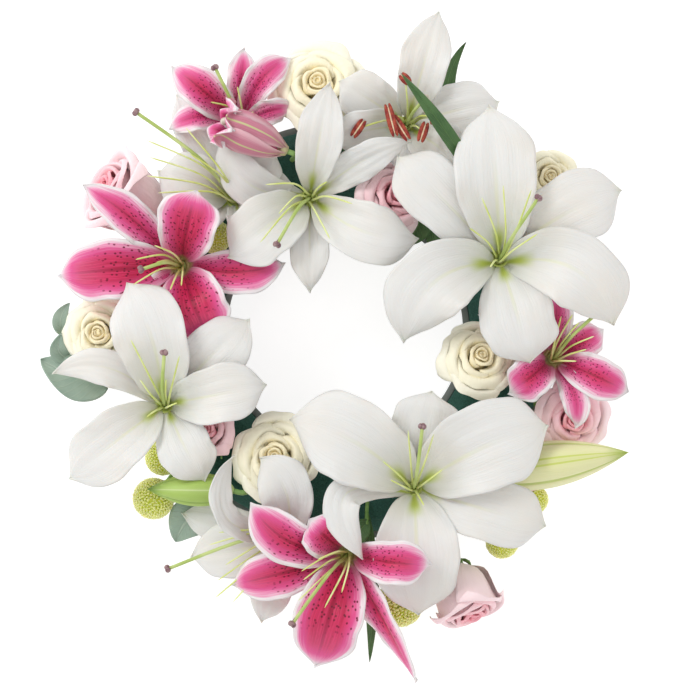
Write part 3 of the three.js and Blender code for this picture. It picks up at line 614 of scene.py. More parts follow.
STEM = plain_finish("green_stem", rgb(0.13, 0.26, 0.06), rgb(0.24, 0.4, 0.12), 0.5)
FILAMENT = plain_finish("filament", rgb(0.62, 0.7, 0.2), rgb(0.76, 0.82, 0.38), 0.4, subsurface=0.2)
STYLE = plain_finish("style", rgb(0.4, 0.52, 0.14), rgb(0.55, 0.65, 0.25), 0.4)
STIGMA = plain_finish("stigma", rgb(0.2, 0.1, 0.12), rgb(0.36, 0.24, 0.24), 0.35, scale=300)
PALE_STIGMA = plain_finish(
    "stigma_pale", rgb(0.5, 0.45, 0.35), rgb(0.7, 0.66, 0.56), 0.4, scale=300)
ANTHER = plain_finish("anther", rgb(0.22, 0.02, 0.02), rgb(0.42, 0.075, 0.04), 0.7, scale=400)
SEAM = plain_finish("anther_seam", rgb(0.66, 0.5, 0.32), rgb(0.8, 0.66, 0.46), 0.6, scale=400)
HEART_FINISHES = [STEM, FILAMENT, STYLE, STIGMA, ANTHER, SEAM]
print("heart finishes:", len(HEART_FINISHES))

# %% [markdown]
# A stem runs down from its flower and over the tray's rim into the foam, as a florist pushes it
# in. A filament climbs beside the others and then arches out. Both are smooth runs through four
# points, which say more about the bend than a straight line with a curve modifier would.

# %% Where stems and filaments run
FOAM_TOP, STEM_DEPTH, ROSE_STEM_DEPTH = 42, 26, 22
NEAREST_ROOT, FARTHEST_ROOT, RIM_REACH, OVER_RIM = 104, 132, 140, 31


def stem_path(top, axis, depth):
    """From a flower's underside down along its axis, then over the rim into the foam."""
    top, axis = Vector(top), Vector(axis)
    away = math.hypot(top.x, top.y)
    inside = min(max(away, NEAREST_ROOT), FARTHEST_ROOT) / away
    end = Vector((top.x * inside, top.y * inside, FOAM_TOP - depth))
    neck = top - 8 * axis
    entry = end.lerp(neck, 0.45)
    if math.hypot(entry.x, entry.y) > RIM_REACH:
        entry.z = max(entry.z, OVER_RIM)
    return smooth_path([top, neck, entry, end], 4)


def thread_path(seat, row, root, ring):
    """A filament climbs beside the others, then leans out to its own heading."""
    heading, reach, rise = row
    angle, spread = math.radians(heading), math.radians(ring)
    end = Vector((reach * math.cos(angle), reach * math.sin(angle), 0))
    start = Vector((root * math.cos(spread), root * math.sin(spread), 0))
    over = -1.5 * root * math.cos(spread - angle)
    shares = [(1, 0, 1), (1.4, 0.03, 14 + over), (1.6, 0.34, rise * 0.82 + over), (0, 1, rise)]
    run = [Vector(seat) + start * a + end * b + Vector((0, 0, c)) for a, b, c in shares]
    run[2].y += 0.1 * reach * abs(math.cos(angle))
    return smooth_path(run, 6)


print("roots of the stems, millimetres from the middle:", NEAREST_ROOT, "to", FARTHEST_ROOT)

# %% [markdown]
# Stigma and pollen sacs are beads: a small sphere, stretched and aimed. They are far too small
# to be worth sculpting.

# %% Beads, stigma and pollen sacs
def aim(place, direction):
    """A matrix that stands an upright shape at a place, pointing along a direction."""
    turn = Vector((0, 0, 1)).rotation_difference(Vector(direction).normalized())
    return Matrix.Translation(place) @ turn.to_matrix().to_4x4()


def paint(bm, before, finish):
    for face in list(bm.faces)[before:]:
        face.material_index = finish


def add_bead(bm, place, direction, size, finish, rings=6, sides=8):
    """An egg-shaped bead with its long axis along a direction."""
    before = len(bm.faces)
    stretch = Matrix.Diagonal((*size, 1))
    where = aim(place, direction) @ stretch
    bmesh.ops.create_uvsphere(bm, u_segments=sides, v_segments=rings, radius=1, matrix=where)
    paint(bm, before, finish)


def add_stigma(bm, place, direction):
    """Three lobes that meet in a flat swollen end."""
    direction = Vector(direction).normalized()
    side = direction.orthogonal().normalized()
    for i in range(3):
        lobe = Quaternion(direction, math.radians(120 * i)) @ side
        add_bead(bm, place + 1.5 * lobe, direction, (1.9, 1.9, 2.1), finish=3)


def add_anther(bm, place, heading, half_length):
    """Two pollen sacs side by side with a pale seam between them."""
    angle = math.radians(heading)
    along = Vector((math.cos(angle), math.sin(angle), -0.25)).normalized()
    beside = Vector((-along.y, along.x, 0)).normalized()
    for side in (-1, 1):
        add_bead(bm, place + 1.5 * side * beside, along, (2, 1.8, half_length), finish=4, rings=8)
    add_bead(bm, place + Vector((0, 0, 1.1)), along, (0.6, 0.9, 0.9 * half_length), finish=5)


# Anthers of the second white lily: for each filament's heading, the sac's own and half its length
ANTHERS = {190: (56, 8), 183: (104, 13), 230: (122, 11), 4: (79, 6), 320: (72, 8), 94: (132, 5)}
print("pollen sacs kept:", len(ANTHERS))

# %% [markdown]
# The heart is one piece from root to stigma, because all of it grows on one stem. The filaments
# take their places round the receptacle in the order of their headings, so that none crosses
# the next.

# %% Build a lily's heart
RECEPTACLE = ((-5, -1.4, 2, 4.3), (-1.4, 3, 2.7, 2.5))  # low, high, thin and thick end
STEM_RADIUS = 2.0


def build_heart(name, flower, anthers):
    bm = bmesh.new()
    seat = Vector(flower["seat"])
    path = stem_path(seat - Vector((0, 0, 4)), (0, 0, 1), STEM_DEPTH)
    add_stem(bm, path, [STEM_RADIUS] * len(path), sides=10, finish=0)
    before = len(bm.faces)
    for low, high, thin, thick in RECEPTACLE:
        middle = Matrix.Translation(seat + Vector((0, 0, (low + high) / 2)))
        bmesh.ops.create_cone(
            bm, cap_ends=True, segments=14, radius1=thin, radius2=thick, depth=high - low,
            matrix=middle)
    paint(bm, before, 1)
    first = flower["pistil"][0]
    in_order = sorted(flower["stamens"], key=lambda row: (row[0] - first + 540) % 360)
    for i, row in enumerate(in_order):
        path = thread_path(seat, row, root=1.75, ring=first - 150 + 60 * i)
        before = len(bm.faces)
        add_stem(bm, path, taper(len(path), thick=1.1, thin=0.55), sides=6, finish=1)
        paint(bm, before, 1)
        if anthers:
            add_anther(bm, path[-1], *anthers[row[0]])
    path = thread_path(seat, flower["pistil"], root=0, ring=0)
    before = len(bm.faces)
    add_stem(bm, path, taper(len(path), 1.2, 1.3, tip=False), sides=8, finish=2)
    paint(bm, before, 2)
    add_stigma(bm, path[-1], path[-1] - path[-3])
    close_up(bm)
    finishes = list(HEART_FINISHES)
    if anthers:
        finishes[3] = PALE_STIGMA
    return plant(bm, name, "lily_heart", name, finishes)


for i, flower in enumerate(WHITE_LILIES):
    build_heart(f"white_lily_{i + 1}_heart", flower, ANTHERS if i == 1 else None)
for i, flower in enumerate(PINK_LILIES):
    build_heart(f"pink_lily_{i + 1}_heart", flower, None)
print("hearts built:", len(WHITE_LILIES) + len(PINK_LILIES))

# %% [markdown]
# ## Leaves
# A leaf is a grid bent along one smooth curve, folded up a little along its midrib and waved
# at its edges. The eucalyptus leaves are grey and waxy, the lily and rose leaves dark green. A
# flat outline could be cut out and curved afterwards, but then its ribs would not follow it.

# %% Leaf tables
SPRIGS = {
    "eucalyptus_left": dict(
        stalk=[(-206, 4, 48), (-204, -18, 44), (-186, -38, 36), (-138, -38, 24)],
        leaves=[
            dict(start=0.6, points=[(-196, -37, 50), (-223, -21, 44)], width=34, wave=3),
            dict(start=0.25, points=[(-214, -18, 52), (-206, -2, 60)], width=14),
            dict(start=0.06, points=[(-212, 8, 56), (-200, 20, 60)], width=12)]),
    "eucalyptus_lower": dict(
        stalk=[(-104, -132, 43), (-98, -124, 41), (-84, -108, 26)],
        leaves=[
            dict(start=0.06, points=[(-118, -136, 48), (-124, -155, 42)], width=30, wave=2),
            dict(start=0.25, points=[(-92, -132, 49), (-88, -146, 47)], width=26)]),
    "lily_leaves_top": dict(
        stalk=[(94, 106, 94), (98, 106, 70), (94, 102, 48), (86, 92, 26)],
        leaves=[
            dict(start=0.06, points=[(71, 144, 116), (40, 182, 106)], width=11, fold=0.4, wave=0),
            dict(start=0.5, points=[(55, 165, 62), (88, 209, 68)], width=14, fold=0.3)]),
    "dark_leaves_inner": dict(
        stalk=[(54, 88, 50), (57, 93, 44), (62, 101, 26)],
        leaves=[
            dict(start=0.06, points=[(56, 74, 56), (42, 62, 50)], width=22, wave=0),
            dict(start=0.25, points=[(66, 74, 54), (64, 58, 50)], width=16, wave=0)]),
    "dark_leaves_lower": dict(
        stalk=[(16, -142, 54), (16, -130, 46), (18, -114, 26)],
        leaves=[
            dict(start=0.06, points=[(8, -146, 60), (8, -162, 56)], width=14, wave=0),
            dict(start=0.25, points=[(22, -190, 50), (18, -244, 40)], width=11, wave=0)])}
print("leaves:", sum(len(sprig["leaves"]) for sprig in SPRIGS.values()))

# %% [markdown]
# A leaf's veins run out from the midrib at a slant. They are the crests of a sine wave over the
# leaf's own measures, which a drawn picture would have to be fitted to leaf by leaf.

# %% Leaf finishes
def leaf_finish(name, blade, vein, roughness):
    finish = Finish(name, roughness, subsurface=0.05)
    along, off_middle = finish.layer("along"), finish.off_middle()
    slant = finish.maths("SUBTRACT", along, finish.times(off_middle, 0.25))
    ribs = finish.fade(finish.maths("SINE", finish.times(slant, 62)), 0.8, 1.0, 0, 0.45)
    ribs = finish.maths("MAXIMUM", ribs, finish.fade(off_middle, 0.03, 0.1, 1, 0))
    body = finish.mix(finish.noise(finish.place(), 70, 4), blade, vein)
    finish.colour(finish.mix(ribs, body, vein))
    finish.bump(ribs, 0.0004)
    return finish.material


GREY_LEAF = leaf_finish("grey_leaf", rgb(0.21, 0.32, 0.26), rgb(0.43, 0.53, 0.44), 0.6)
DARK_LEAF = leaf_finish("dark_leaf", rgb(0.02, 0.07, 0.022), rgb(0.12, 0.23, 0.08), 0.4)
print("finishes:", GREY_LEAF.name, DARK_LEAF.name)

# %% [markdown]
# Leaves of one sprig share a stalk and are one piece with it. Each foot sinks a little into the
# stalk, and the blades get their wall before the stalk is added, which is solid already.

# %% Build the leaves
def leaf_surface(leaf, foot):
    """A midrib drawn by foot, bend and tip, with the blade folded on each side of it."""
    bend, tip = [Vector(point) for point in leaf["points"]]
    fold, wave = leaf.get("fold", 0.25), leaf.get("wave", 1)

    def half_width(s):
        half = leaf["width"] / 2 * max(0.08, math.sin(math.pi * (0.06 + 0.91 * s**0.85)))
        return half * (1 if s < 0.92 else math.sqrt(max(0.003, 1 - ((s - 0.92) / 0.08) ** 2)))

    def surface(s, w):
        point = foot * (1 - s) ** 2 + bend * 2 * s * (1 - s) + tip * s * s
        tangent = ((bend - foot) * (1 - s) + (tip - bend) * s).normalized()
        across = Vector((-tangent.y, tangent.x, 0)).normalized()
        normal = tangent.cross(across)
        half = half_width(s)
        lift = half * fold * abs(w) + wave * math.sin(8 * s + w) * w * w
        return point + across * (w * half) + normal * lift

    return surface, half_width


def along_stalk(stalk, share):
    """The point a share of the way down the stalk, measured along its length."""
    path = smooth_path(stalk, 10)
    left = share * sum((b - a).length for a, b in zip(path, path[1:]))
    for a, b in zip(path, path[1:]):
        step = (b - a).length
        if left <= step:
            return a.lerp(b, left / step)
        left -= step
    return path[-1]


def add_leaf(bm, leaf, foot):
    ahead = (Vector(leaf["points"][0]) - foot).normalized()
    surface, half_width = leaf_surface(leaf, foot - 1.5 * ahead)
    add_petal(bm, surface, half_width, length=50, rows=30, columns=12)


for name, sprig in SPRIGS.items():
    finish, slot = (GREY_LEAF, "grey_leaf") if "eucalyptus" in name else (DARK_LEAF, "dark_leaf")
    bm = petal_bed()
    for leaf in sprig["leaves"]:
        add_leaf(bm, leaf, along_stalk(sprig["stalk"], leaf["start"]))
    thicken(bm, 0.7)
    path = smooth_path(sprig["stalk"], 6)
    add_stem(bm, path, taper(len(path), 1.3, 1.5, tip=False), sides=8, finish=1)
    close_up(bm)
    plant(bm, name, slot, name, [finish, STEM])
print("sprigs built:", len(SPRIGS))

# %% [markdown]
# ## Roses
# A rose is a cone of petals wrapped one over another, and tighter ones wind into the heart. A
# rose is its seat, heading and lean, its size, and how many rings of petals are open. Eleven
# roses from one table stay alike enough to be one kind, as a florist's are.

# %% Rose tables
PINK_ROSES = [
    dict(seat=(-138, 84, 41), heading=150, lean=62, radius=33, height=52, rings=3),
    dict(seat=(25, 93, 47), heading=20, lean=24, radius=25, height=38, rings=3),
    dict(seat=(161, -62, 36), heading=330, lean=10, radius=25, height=36, rings=3),
    dict(seat=(80, -172, 48), heading=290, lean=68, radius=26, height=44, rings=3),
    dict(seat=(-93, -86, 44), heading=120, lean=30, radius=22, height=36, rings=2),
    dict(seat=(132, -101, 36), heading=330, lean=20, radius=16, height=22, rings=2)]
CREAM_ROSES = [
    dict(seat=(-171, -3, 40), heading=170, lean=12, radius=26, height=40, rings=3),
    dict(seat=(-47, -94, 46), heading=140, lean=8, radius=30, height=38, rings=3),
    dict(seat=(91, -30, 47), heading=57, lean=24, radius=27, height=38, rings=3),
    dict(seat=(143, 106, 44), heading=40, lean=12, radius=24, height=38, rings=2),
    dict(seat=(-19, 168, 44), heading=95, lean=16, radius=32, height=44, rings=3,
         leaf=dict(points=[(-4, 130, 60), (24, 132, 66)], width=18, wave=0))]
print("roses:", len(PINK_ROSES), "pink and", len(CREAM_ROSES), "cream")

# %% [markdown]
# Each petal follows a profile of radius and height while it wraps round the bud's axis, and its
# lip rolls outwards. Spinning the whole profile would be quicker, but a rose has no full rings:
# every petal starts and ends, and tucks one edge under the next. A rose that lies on its side
# shows its outer petals, so they stand taller there.

# %% Petals wrapped round a bud
LIP_START = 0.7
LYING = 45  # degrees of lean past which a rose lies on its side


def wrapped_petal(profile, turn, span, crown, tuck, point=0.0):
    """A surface that climbs a profile of radius and height while it wraps round the axis."""
    climb = smooth_path([(radius, height, 0) for radius, height in profile], 6)

    def surface(s, w):
        place = min(max(s, 0), 1) * (len(climb) - 1)
        i = min(int(place), len(climb) - 2)
        here = climb[i].lerp(climb[i + 1], place - i)
        fullness = 0.15 + 0.85 * math.sin(math.pi * (0.05 + 0.75 * s))
        angle = math.radians(turn + w * span * fullness)
        lip = max(0.0, (s - LIP_START) / (1 - LIP_START)) ** 2
        radius = here.x + tuck * w + point * lip * math.exp(-((w / 0.22) ** 2))
        radius += 0.03 * here.x * math.sin(5 * w + turn) * s
        radius += 0.02 * here.x * math.sin(9 * w + 2 * turn) * lip
        height = here.y - crown * w * w * s * s
        return Vector((radius * math.cos(angle), radius * math.sin(angle), height))

    return surface


def axis_matrix(seat, heading, lean):
    """Stands an upright flower on its seat, leaning towards a heading."""
    turn = Matrix.Rotation(math.radians(heading), 4, "Z")
    tip = Matrix.Rotation(math.radians(lean), 4, "Y")
    return Matrix.Translation(seat) @ turn @ tip @ turn.inverted()


def rose_layers(rose):
    """How many petals each ring has, how far out their walls stand and their lips roll."""
    layers = [
        dict(count=2, out=0.06, top=1.0, span=150, start=10, low=0.55, lip=0.02),
        dict(count=2, out=0.13, top=1.01, span=128, start=75, low=0.5, lip=0.05),
        dict(count=3, out=0.22, top=1.0, span=92, start=40, low=0.45, lip=0.11),
        dict(count=3, out=0.36, top=0.95, span=86, start=100, low=0.32, lip=0.22),
        dict(count=3, out=0.54, top=0.87, span=84, start=20, low=0.18, lip=0.34),
        dict(count=4, out=0.78, top=0.76, span=68, start=65, low=0.05, lip=0.3)]
    if rose["lean"] > LYING:
        for layer, top, lip in zip(layers[3:], (0.98, 0.96, 0.93), (0.12, 0.16, 0.2)):
            layer.update(top=top, lip=lip)
    return layers if rose["rings"] == 3 else layers[:5]


print("petals of an open rose:", sum(layer["count"] for layer in rose_layers(PINK_ROSES[0])))

# %% [markdown]
# A rose's colour deepens towards its heart, where light passes through many petals. The layer
# called "depth" says how far out a petal stands, 0 at the heart and 1 outside. Every petal could
# have a finish of its own, but one graph that reads the layer gives the same gradual change.

# %% Rose finishes
def rose_finish(name, heart, middle, outside, base):
    finish = Finish(name, 0.55, subsurface=0.08, sheen=0.1)
    depth, along = finish.layer("depth"), finish.layer("along")
    body = finish.mix(finish.fade(depth, 0.1, 0.5), heart, middle)
    body = finish.mix(finish.fade(depth, 0.5, 0.95), body, outside)
    veins = finish.streaks(9, 1.2, 1.8)
    body = finish.mix(finish.times(veins, 0.3), body, middle)
    body = finish.mix(finish.fade(along, 0.05, 0.5, 0.7, 0), body, base)
    finish.colour(body)
    finish.bump(veins, 0.0005)
    return finish.material


PINK_ROSE = rose_finish(
    "pink_rose", heart=rgb(0.95, 0.36, 0.43), middle=rgb(0.97, 0.66, 0.7),
    outside=rgb(0.98, 0.82, 0.84), base=rgb(0.97, 0.82, 0.74))
CREAM_ROSE = rose_finish(
    "cream_rose", heart=rgb(0.98, 0.85, 0.54), middle=rgb(0.98, 0.93, 0.72),
    outside=rgb(0.97, 0.945, 0.82), base=rgb(0.96, 0.93, 0.68))
print("finishes:", PINK_ROSE.name, CREAM_ROSE.name)

# %% [markdown]
# The head's petals get their wall while they are still open sheets, then a closed core is set in
# the middle, so that nobody looks through the bud. The small turns and sizes are drawn from a
# seed that is the rose's own name, and every run gives the same rose.

# %% Build the rose heads
ROSE_WALL = 0.6


def build_rose_head(name, rose, slot, finish):
    bm = petal_bed()
    dice = random.Random(name)
    radius, height = rose["radius"], rose["height"]
    for layer in rose_layers(rose):
        for i in range(layer["count"]):
            out = layer["out"] * dice.uniform(0.95, 1.05)
            top = layer["top"] * dice.uniform(0.96, 1.0) * height
            low, lip = layer["low"] * height, layer["lip"] * dice.uniform(0.8, 1.15)
            profile = [
                (0.3 * min(1, out + 0.3) * radius, low), (0.86 * out * radius, low + 0.2 * height),
                (out * radius, max(low + 0.3 * height, 0.8 * top)),
                ((out + 0.45 * lip) * radius, 0.98 * top),
                ((out + lip) * radius, top - 0.34 * lip * radius)]
            turn = layer["start"] + 360 * i / layer["count"] + dice.uniform(-9, 9)
            surface = wrapped_petal(
                profile, turn, layer["span"], crown=0.2 * height, tuck=0.14 * radius * out,
                point=0.14 * lip * radius)
            add_petal(bm, surface, lambda s: 10, length=30, rows=16, columns=24, depth=out)
    thicken(bm, ROSE_WALL)
    fat, tall = 0.25 * radius, 0.42 * height
    core = Matrix.Translation((0, 0, 0.52 * height)) @ Matrix.Diagonal((fat, fat, tall, 1))
    heart = bmesh.ops.create_uvsphere(bm, u_segments=16, v_segments=12, radius=1, matrix=core)
    for vert in heart["verts"]:
        measure(bm, vert, along=1.0)
    whole = axis_matrix(rose["seat"], rose["heading"], rose["lean"])
    bmesh.ops.transform(bm, matrix=whole, verts=bm.verts)
    close_up(bm)
    return plant(bm, name, slot, name, [finish])


print("wall of a rose petal:", ROSE_WALL, "mm")

# %% [markdown]
# Under the head five narrow sepals stand away from a green cup on the stem. They are the same
# wrapped petals with another profile, which is simpler than a shape of their own.

# %% Build the rose stems
def build_rose_stem(name, rose):
    bm = petal_bed()
    radius = rose["radius"]
    whole = axis_matrix(rose["seat"], rose["heading"], rose["lean"])
    axis = (whole.to_3x3() @ Vector((0, 0, 1))).normalized()
    sepal = [(2.4, -8.5), (0.25 * radius, -2.5), (0.38 * radius, 1), (0.46 * radius, 6)]
    for i in range(5):
        surface = wrapped_petal(sepal, 72 * i + 20, span=20, crown=5, tuck=0)
        add_petal(bm, surface, lambda s: 3, length=10, rows=8, columns=6)
    bmesh.ops.transform(bm, matrix=whole, verts=bm.verts)
    neck = Vector(rose["seat"]) - 4 * axis
    if "leaf" in rose:
        before = len(bm.faces)
        add_leaf(bm, rose["leaf"], neck)
        paint(bm, before, 1)
    thicken(bm, ROSE_WALL)
    cup = whole @ Matrix.Translation((0, 0, -5))
    bmesh.ops.create_cone(
        bm, cap_ends=True, segments=16, radius1=2.4, radius2=0.24 * radius, depth=8, matrix=cup)
    path = stem_path(neck, axis, ROSE_STEM_DEPTH)
    add_stem(bm, path, [STEM_RADIUS] * len(path), sides=10, finish=0)
    close_up(bm)
    return plant(bm, name, "stem", name, [STEM, DARK_LEAF])


for kind, roses, finish in (("pink", PINK_ROSES, PINK_ROSE), ("cream", CREAM_ROSES, CREAM_ROSE)):
    for i, rose in enumerate(roses):
        build_rose_head(f"{kind}_rose_{i + 1}_head", rose, f"{kind}_rose", finish)
        build_rose_stem(f"{kind}_rose_{i + 1}_stem", rose)
print("roses built:", len(PINK_ROSES) + len(CREAM_ROSES))

# %% [markdown]
# ## Chrysanthemums
# A button chrysanthemum is a low dome packed with hundreds of short florets. Each floret is
# set a golden angle further round than the last, which is how the plant itself packs them. A
# bumpy ball would pass from afar, but its edge would be smooth. The florets have six sides each,
# because there are so many of them.

# %% Spray table and finish
SPRAYS = [
    dict(root=(-108, -80, 28), heads=[((-140, -123, 50), 15), ((-133, -93, 50), 13)]),
    dict(root=(-76, 78, 28), heads=[((-95, 68, 52), 12), ((-52, 65, 52), 9)]),
    dict(root=(44, 88, 28), heads=[((30, 66, 50), 11)]),
    dict(root=(26, -136, 28), heads=[((40, -200, 46), 17)]),
    dict(root=(100, -102, 28), heads=[((115, -155, 46), 12), ((138, -124, 42), 11)])]
GOLDEN_ANGLE = math.pi * (3 - math.sqrt(5))


def chrysanthemum_finish():
    finish = Finish("chrysanthemum", 0.6, subsurface=0.3)
    # Each floret is painted darker and more saturated at its foot and lighter at its tip. The foot
    # colour is painted shade, where the crowded florets shadow one another.
    tip = finish.layer("along")
    body = finish.mix(tip, rgb(0.9, 0.94, 0.14), rgb(0.98, 0.99, 0.42))
    middle = finish.fade(finish.layer("depth"), 0.0, 0.7)
    inner = finish.mix(tip, rgb(0.82, 0.89, 0.11), rgb(0.95, 0.98, 0.36))
    finish.colour(finish.mix(middle, inner, body))
    finish.bump(finish.noise(finish.place(), 500), 0.0003)
    return finish.material


LIME = chrysanthemum_finish()
FLORETS_PER_MM, FIRST_SEED = 19, 40
widest = max(radius for spray in SPRAYS for seat, radius in spray["heads"])
print("florets on the largest button:", FLORETS_PER_MM * widest)

# %% [markdown]
# The stalk of each button bends up from the foam. Buttons of one spray share a root, so they are
# one piece. The florets could be scattered by a particle system, but then they would be no part
# of the mesh itself.

# %% Build the sprays
def add_button(bm, seat, radius, dice):
    """A dome of florets of random length and width, each leaning out from the dome."""
    seat = Vector(seat)
    count = int(FLORETS_PER_MM * radius)
    core = Matrix.Translation(seat) @ Matrix.Diagonal((1, 1, 0.68, 1))
    dome = bmesh.ops.create_uvsphere(
        bm, u_segments=20, v_segments=12, radius=0.84 * radius, matrix=core)
    # The dome under the florets takes their foot colour, the painted shade between them.
    for vert in dome["verts"]:
        measure(bm, vert, along=0.0, depth=0.5)
    for i in range(count):
        share = (i + 0.5) / count
        polar, angle = math.acos(1 - 1.25 * share), i * GOLDEN_ANGLE
        ring = math.sin(polar)
        out = Vector((ring * math.cos(angle), ring * math.sin(angle), 0.72 * math.cos(polar)))
        length = 0.24 * radius * dice.uniform(0.6, 1.2)
        place = seat + out * radius * 0.97 - out.normalized() * 0.3 * length
        jitter = Vector((dice.uniform(-1, 1), dice.uniform(-1, 1), dice.uniform(-1, 1)))
        lean = out.normalized() + Vector((0, 0, 0.4 * share)) + 0.22 * jitter
        flat = Matrix.Rotation(dice.uniform(0, math.pi), 4, "Z") @ Matrix.Diagonal((1, 0.55, 1, 1))
        wide = 0.1 * radius * dice.uniform(0.7, 1.1)
        floret = bmesh.ops.create_cone(
            bm, cap_ends=True, segments=6, radius1=0.04 * radius, radius2=wide, depth=length,
            matrix=aim(place, lean) @ flat)
        for vert in floret["verts"]:
            reach = (vert.co - place).dot(lean)
            # A floret's outer end takes the light tip colour, and its foot takes the painted shade.
            measure(bm, vert, along=1.0 if reach > 0 else 0.1, depth=share)


for i, spray in enumerate(SPRAYS):
    name = f"chrysanthemum_spray_{i + 1}"
    dice = random.Random(FIRST_SEED + i)
    bm = petal_bed()
    root = Vector(spray["root"])
    for seat, radius in spray["heads"]:
        add_button(bm, seat, radius, dice)
        seat = Vector(seat)
        bend = seat * 0.7 + root * 0.3
        bend.z = seat.z - radius - 2
        path = smooth_path([seat - Vector((0, 0, 0.3 * radius)), bend, root], 5)
        add_stem(bm, path, [1.5] * len(path), sides=8, finish=1)
    close_up(bm)
    plant(bm, name, "chrysanthemum", name, [LIME, STEM])
print("chrysanthemum sprays:", len(SPRAYS))

# %% [markdown]
# ## Buds
# A closed lily bud is long and three-ribbed, with pale panels and green lines where its petals
# meet. The lines could be modelled, but they are finer than the mesh, so the finish draws them
# from the bud's own measures.

# %% Bud finishes
def bud_finish(name, panel, rib, tip, line):
    finish = Finish(name, 0.4, subsurface=0.2)
    veins = finish.streaks(9, 1, 1.5)
    off_line = finish.maths("ABSOLUTE", finish.maths("SUBTRACT", finish.layer("across"), line))
    body = finish.mix(finish.times(finish.layer("depth"), 0.3), panel, rib)
    body = finish.mix(finish.fade(off_line, 0.015, 0.06, 0.85, 0), body, rib)
    body = finish.mix(finish.fade(finish.layer("across"), 0.86, 0.96, 0, 0.7), body, tip)
    body = finish.mix(finish.times(veins, 0.35), body, rib)
    body = finish.mix(finish.fade(finish.layer("along"), 0.82, 1.0), body, tip)
    body = finish.mix(finish.fade(finish.layer("along"), 0.02, 0.25, 0.8, 0), body, rib)
    finish.colour(body)
    finish.bump(veins, 0.0005)
    return finish.material


GREEN_BUD = bud_finish(
    "green_bud", panel=rgb(0.36, 0.54, 0.08), rib=rgb(0.62, 0.73, 0.36),
    tip=rgb(0.2, 0.36, 0.04), line=0.0)
CREAM_BUD = bud_finish(
    "cream_bud", panel=rgb(0.82, 0.8, 0.5), rib=rgb(0.56, 0.64, 0.13),
    tip=rgb(0.42, 0.54, 0.1), line=0.12)
print("finishes:", GREEN_BUD.name, CREAM_BUD.name)

# %% [markdown]
# The bud is a round cap extruded along its length and widened to its profile, then swollen a
# little at each of the three ribs. A stretched sphere would be quicker but is not three-sided.

# %% Build the buds
BUDS = [
    dict(base=(-80, -116, 65), tip=(-143, -115, 72), radius=12, root=(-72, -92, 30), turn=0),
    dict(base=(98, -104, 72), tip=(204, -88, 82), radius=17, root=(92, -88, 30), turn=180)]
BUD_FULLEST, BUD_STEPS = 0.42, 40


def bud_radius(share):
    """How full a bud is at a share of its length."""
    if share < BUD_FULLEST:
        return max(0.02, 1 - (1 - share / BUD_FULLEST) ** 2.2) ** 0.6
    return max(0.015, 1 - ((share - BUD_FULLEST) / (1 - BUD_FULLEST)) ** 1.9)


def build_bud(name, bud, slot, finish):
    bm = petal_bed()
    base, tip = Vector(bud["base"]), Vector(bud["tip"])
    length = (tip - base).length
    shares = [0.5 - 0.5 * math.cos(math.pi * i / BUD_STEPS) for i in range(BUD_STEPS + 1)]
    outline = [Vector((bud_radius(share) * bud["radius"], 0, share * length)) for share in shares]
    bmesh.ops.create_circle(bm, cap_ends=True, segments=48, radius=outline[0].x)
    cap = list(bm.faces)[0]
    for i, (before, after) in enumerate(zip(outline, outline[1:])):
        widen = Matrix.Diagonal((after.x / before.x, after.x / before.x, 1, 1))
        cap = grow_cap(bm, cap, Matrix.Translation((0, 0, after.z - before.z)) @ widen, i > 0)
    for vert in bm.verts:
        angle = math.atan2(vert.co.y, vert.co.x)
        third = abs((math.degrees(angle) + 60) % 120 - 60) / 60
        share = vert.co.z / length
        swell = 1 + 0.06 * math.cos(3 * angle) - 0.07 * math.exp(-(((third - 1) / 0.08) ** 2))
        measure(bm, vert, along=share, across=third, depth=max(0.0, 1 - third / 0.3))
        vert.co.x *= swell
        vert.co.y *= swell
    turn = Matrix.Rotation(math.radians(bud["turn"]), 4, "Z")
    bmesh.ops.transform(bm, matrix=aim(base, tip - base) @ turn, verts=bm.verts)
    axis = (tip - base).normalized()
    path = smooth_path([base + 4 * axis, base - 10 * axis, Vector(bud["root"])], 6)
    add_stem(bm, path, [STEM_RADIUS] * len(path), sides=10, finish=1)
    close_up(bm)
    return plant(bm, name, slot, name, [finish, STEM])


build_bud("lily_bud_1", BUDS[0], "green_bud", GREEN_BUD)
build_bud("lily_bud_2", BUDS[1], "cream_bud", CREAM_BUD)
print("closed buds:", len(BUDS))

# %% [markdown]
# The half-open bud is six petals that wrap a common axis, as a rose's do, and turn out at their
# tips. Outside they are dusky pink with a green midrib. Inside they have the open lily's finish:
# the wall's inner face takes the next material, so one sheet shows both.

# %% Finish of the half-open bud
OPENING = dict(base=(-42, 128, 94), heading=158, lean=74, length=54, radius=15.4)


def opening_finish():
    finish = Finish("pink_bud_petal", 0.5, subsurface=0.2)
    along, off_middle = finish.layer("along"), finish.off_middle()
    veins = finish.streaks(12, 1.5, 1.5)
    body = finish.mix(veins, rgb(0.46, 0.1, 0.18), rgb(0.68, 0.32, 0.4))
    body = finish.mix(finish.fade(off_middle, 0.35, 0.95, 0, 0.75), body, rgb(0.8, 0.52, 0.56))
    body = finish.mix(finish.fade(off_middle, 0.03, 0.1, 0.9, 0), body, rgb(0.6, 0.64, 0.3))
    finish.colour(finish.mix(finish.fade(along, 0.03, 0.3, 0.5, 0), body, rgb(0.42, 0.3, 0.2)))
    finish.bump(veins, 0.0006)
    return finish.material


print("half-open bud:", OPENING["length"], "mm long")

# %% [markdown]
# The inner three petals are a little slimmer than the outer three and curl less, so that the
# mouth stays open round the stigma. The stem is a piece of its own, as its solid is.

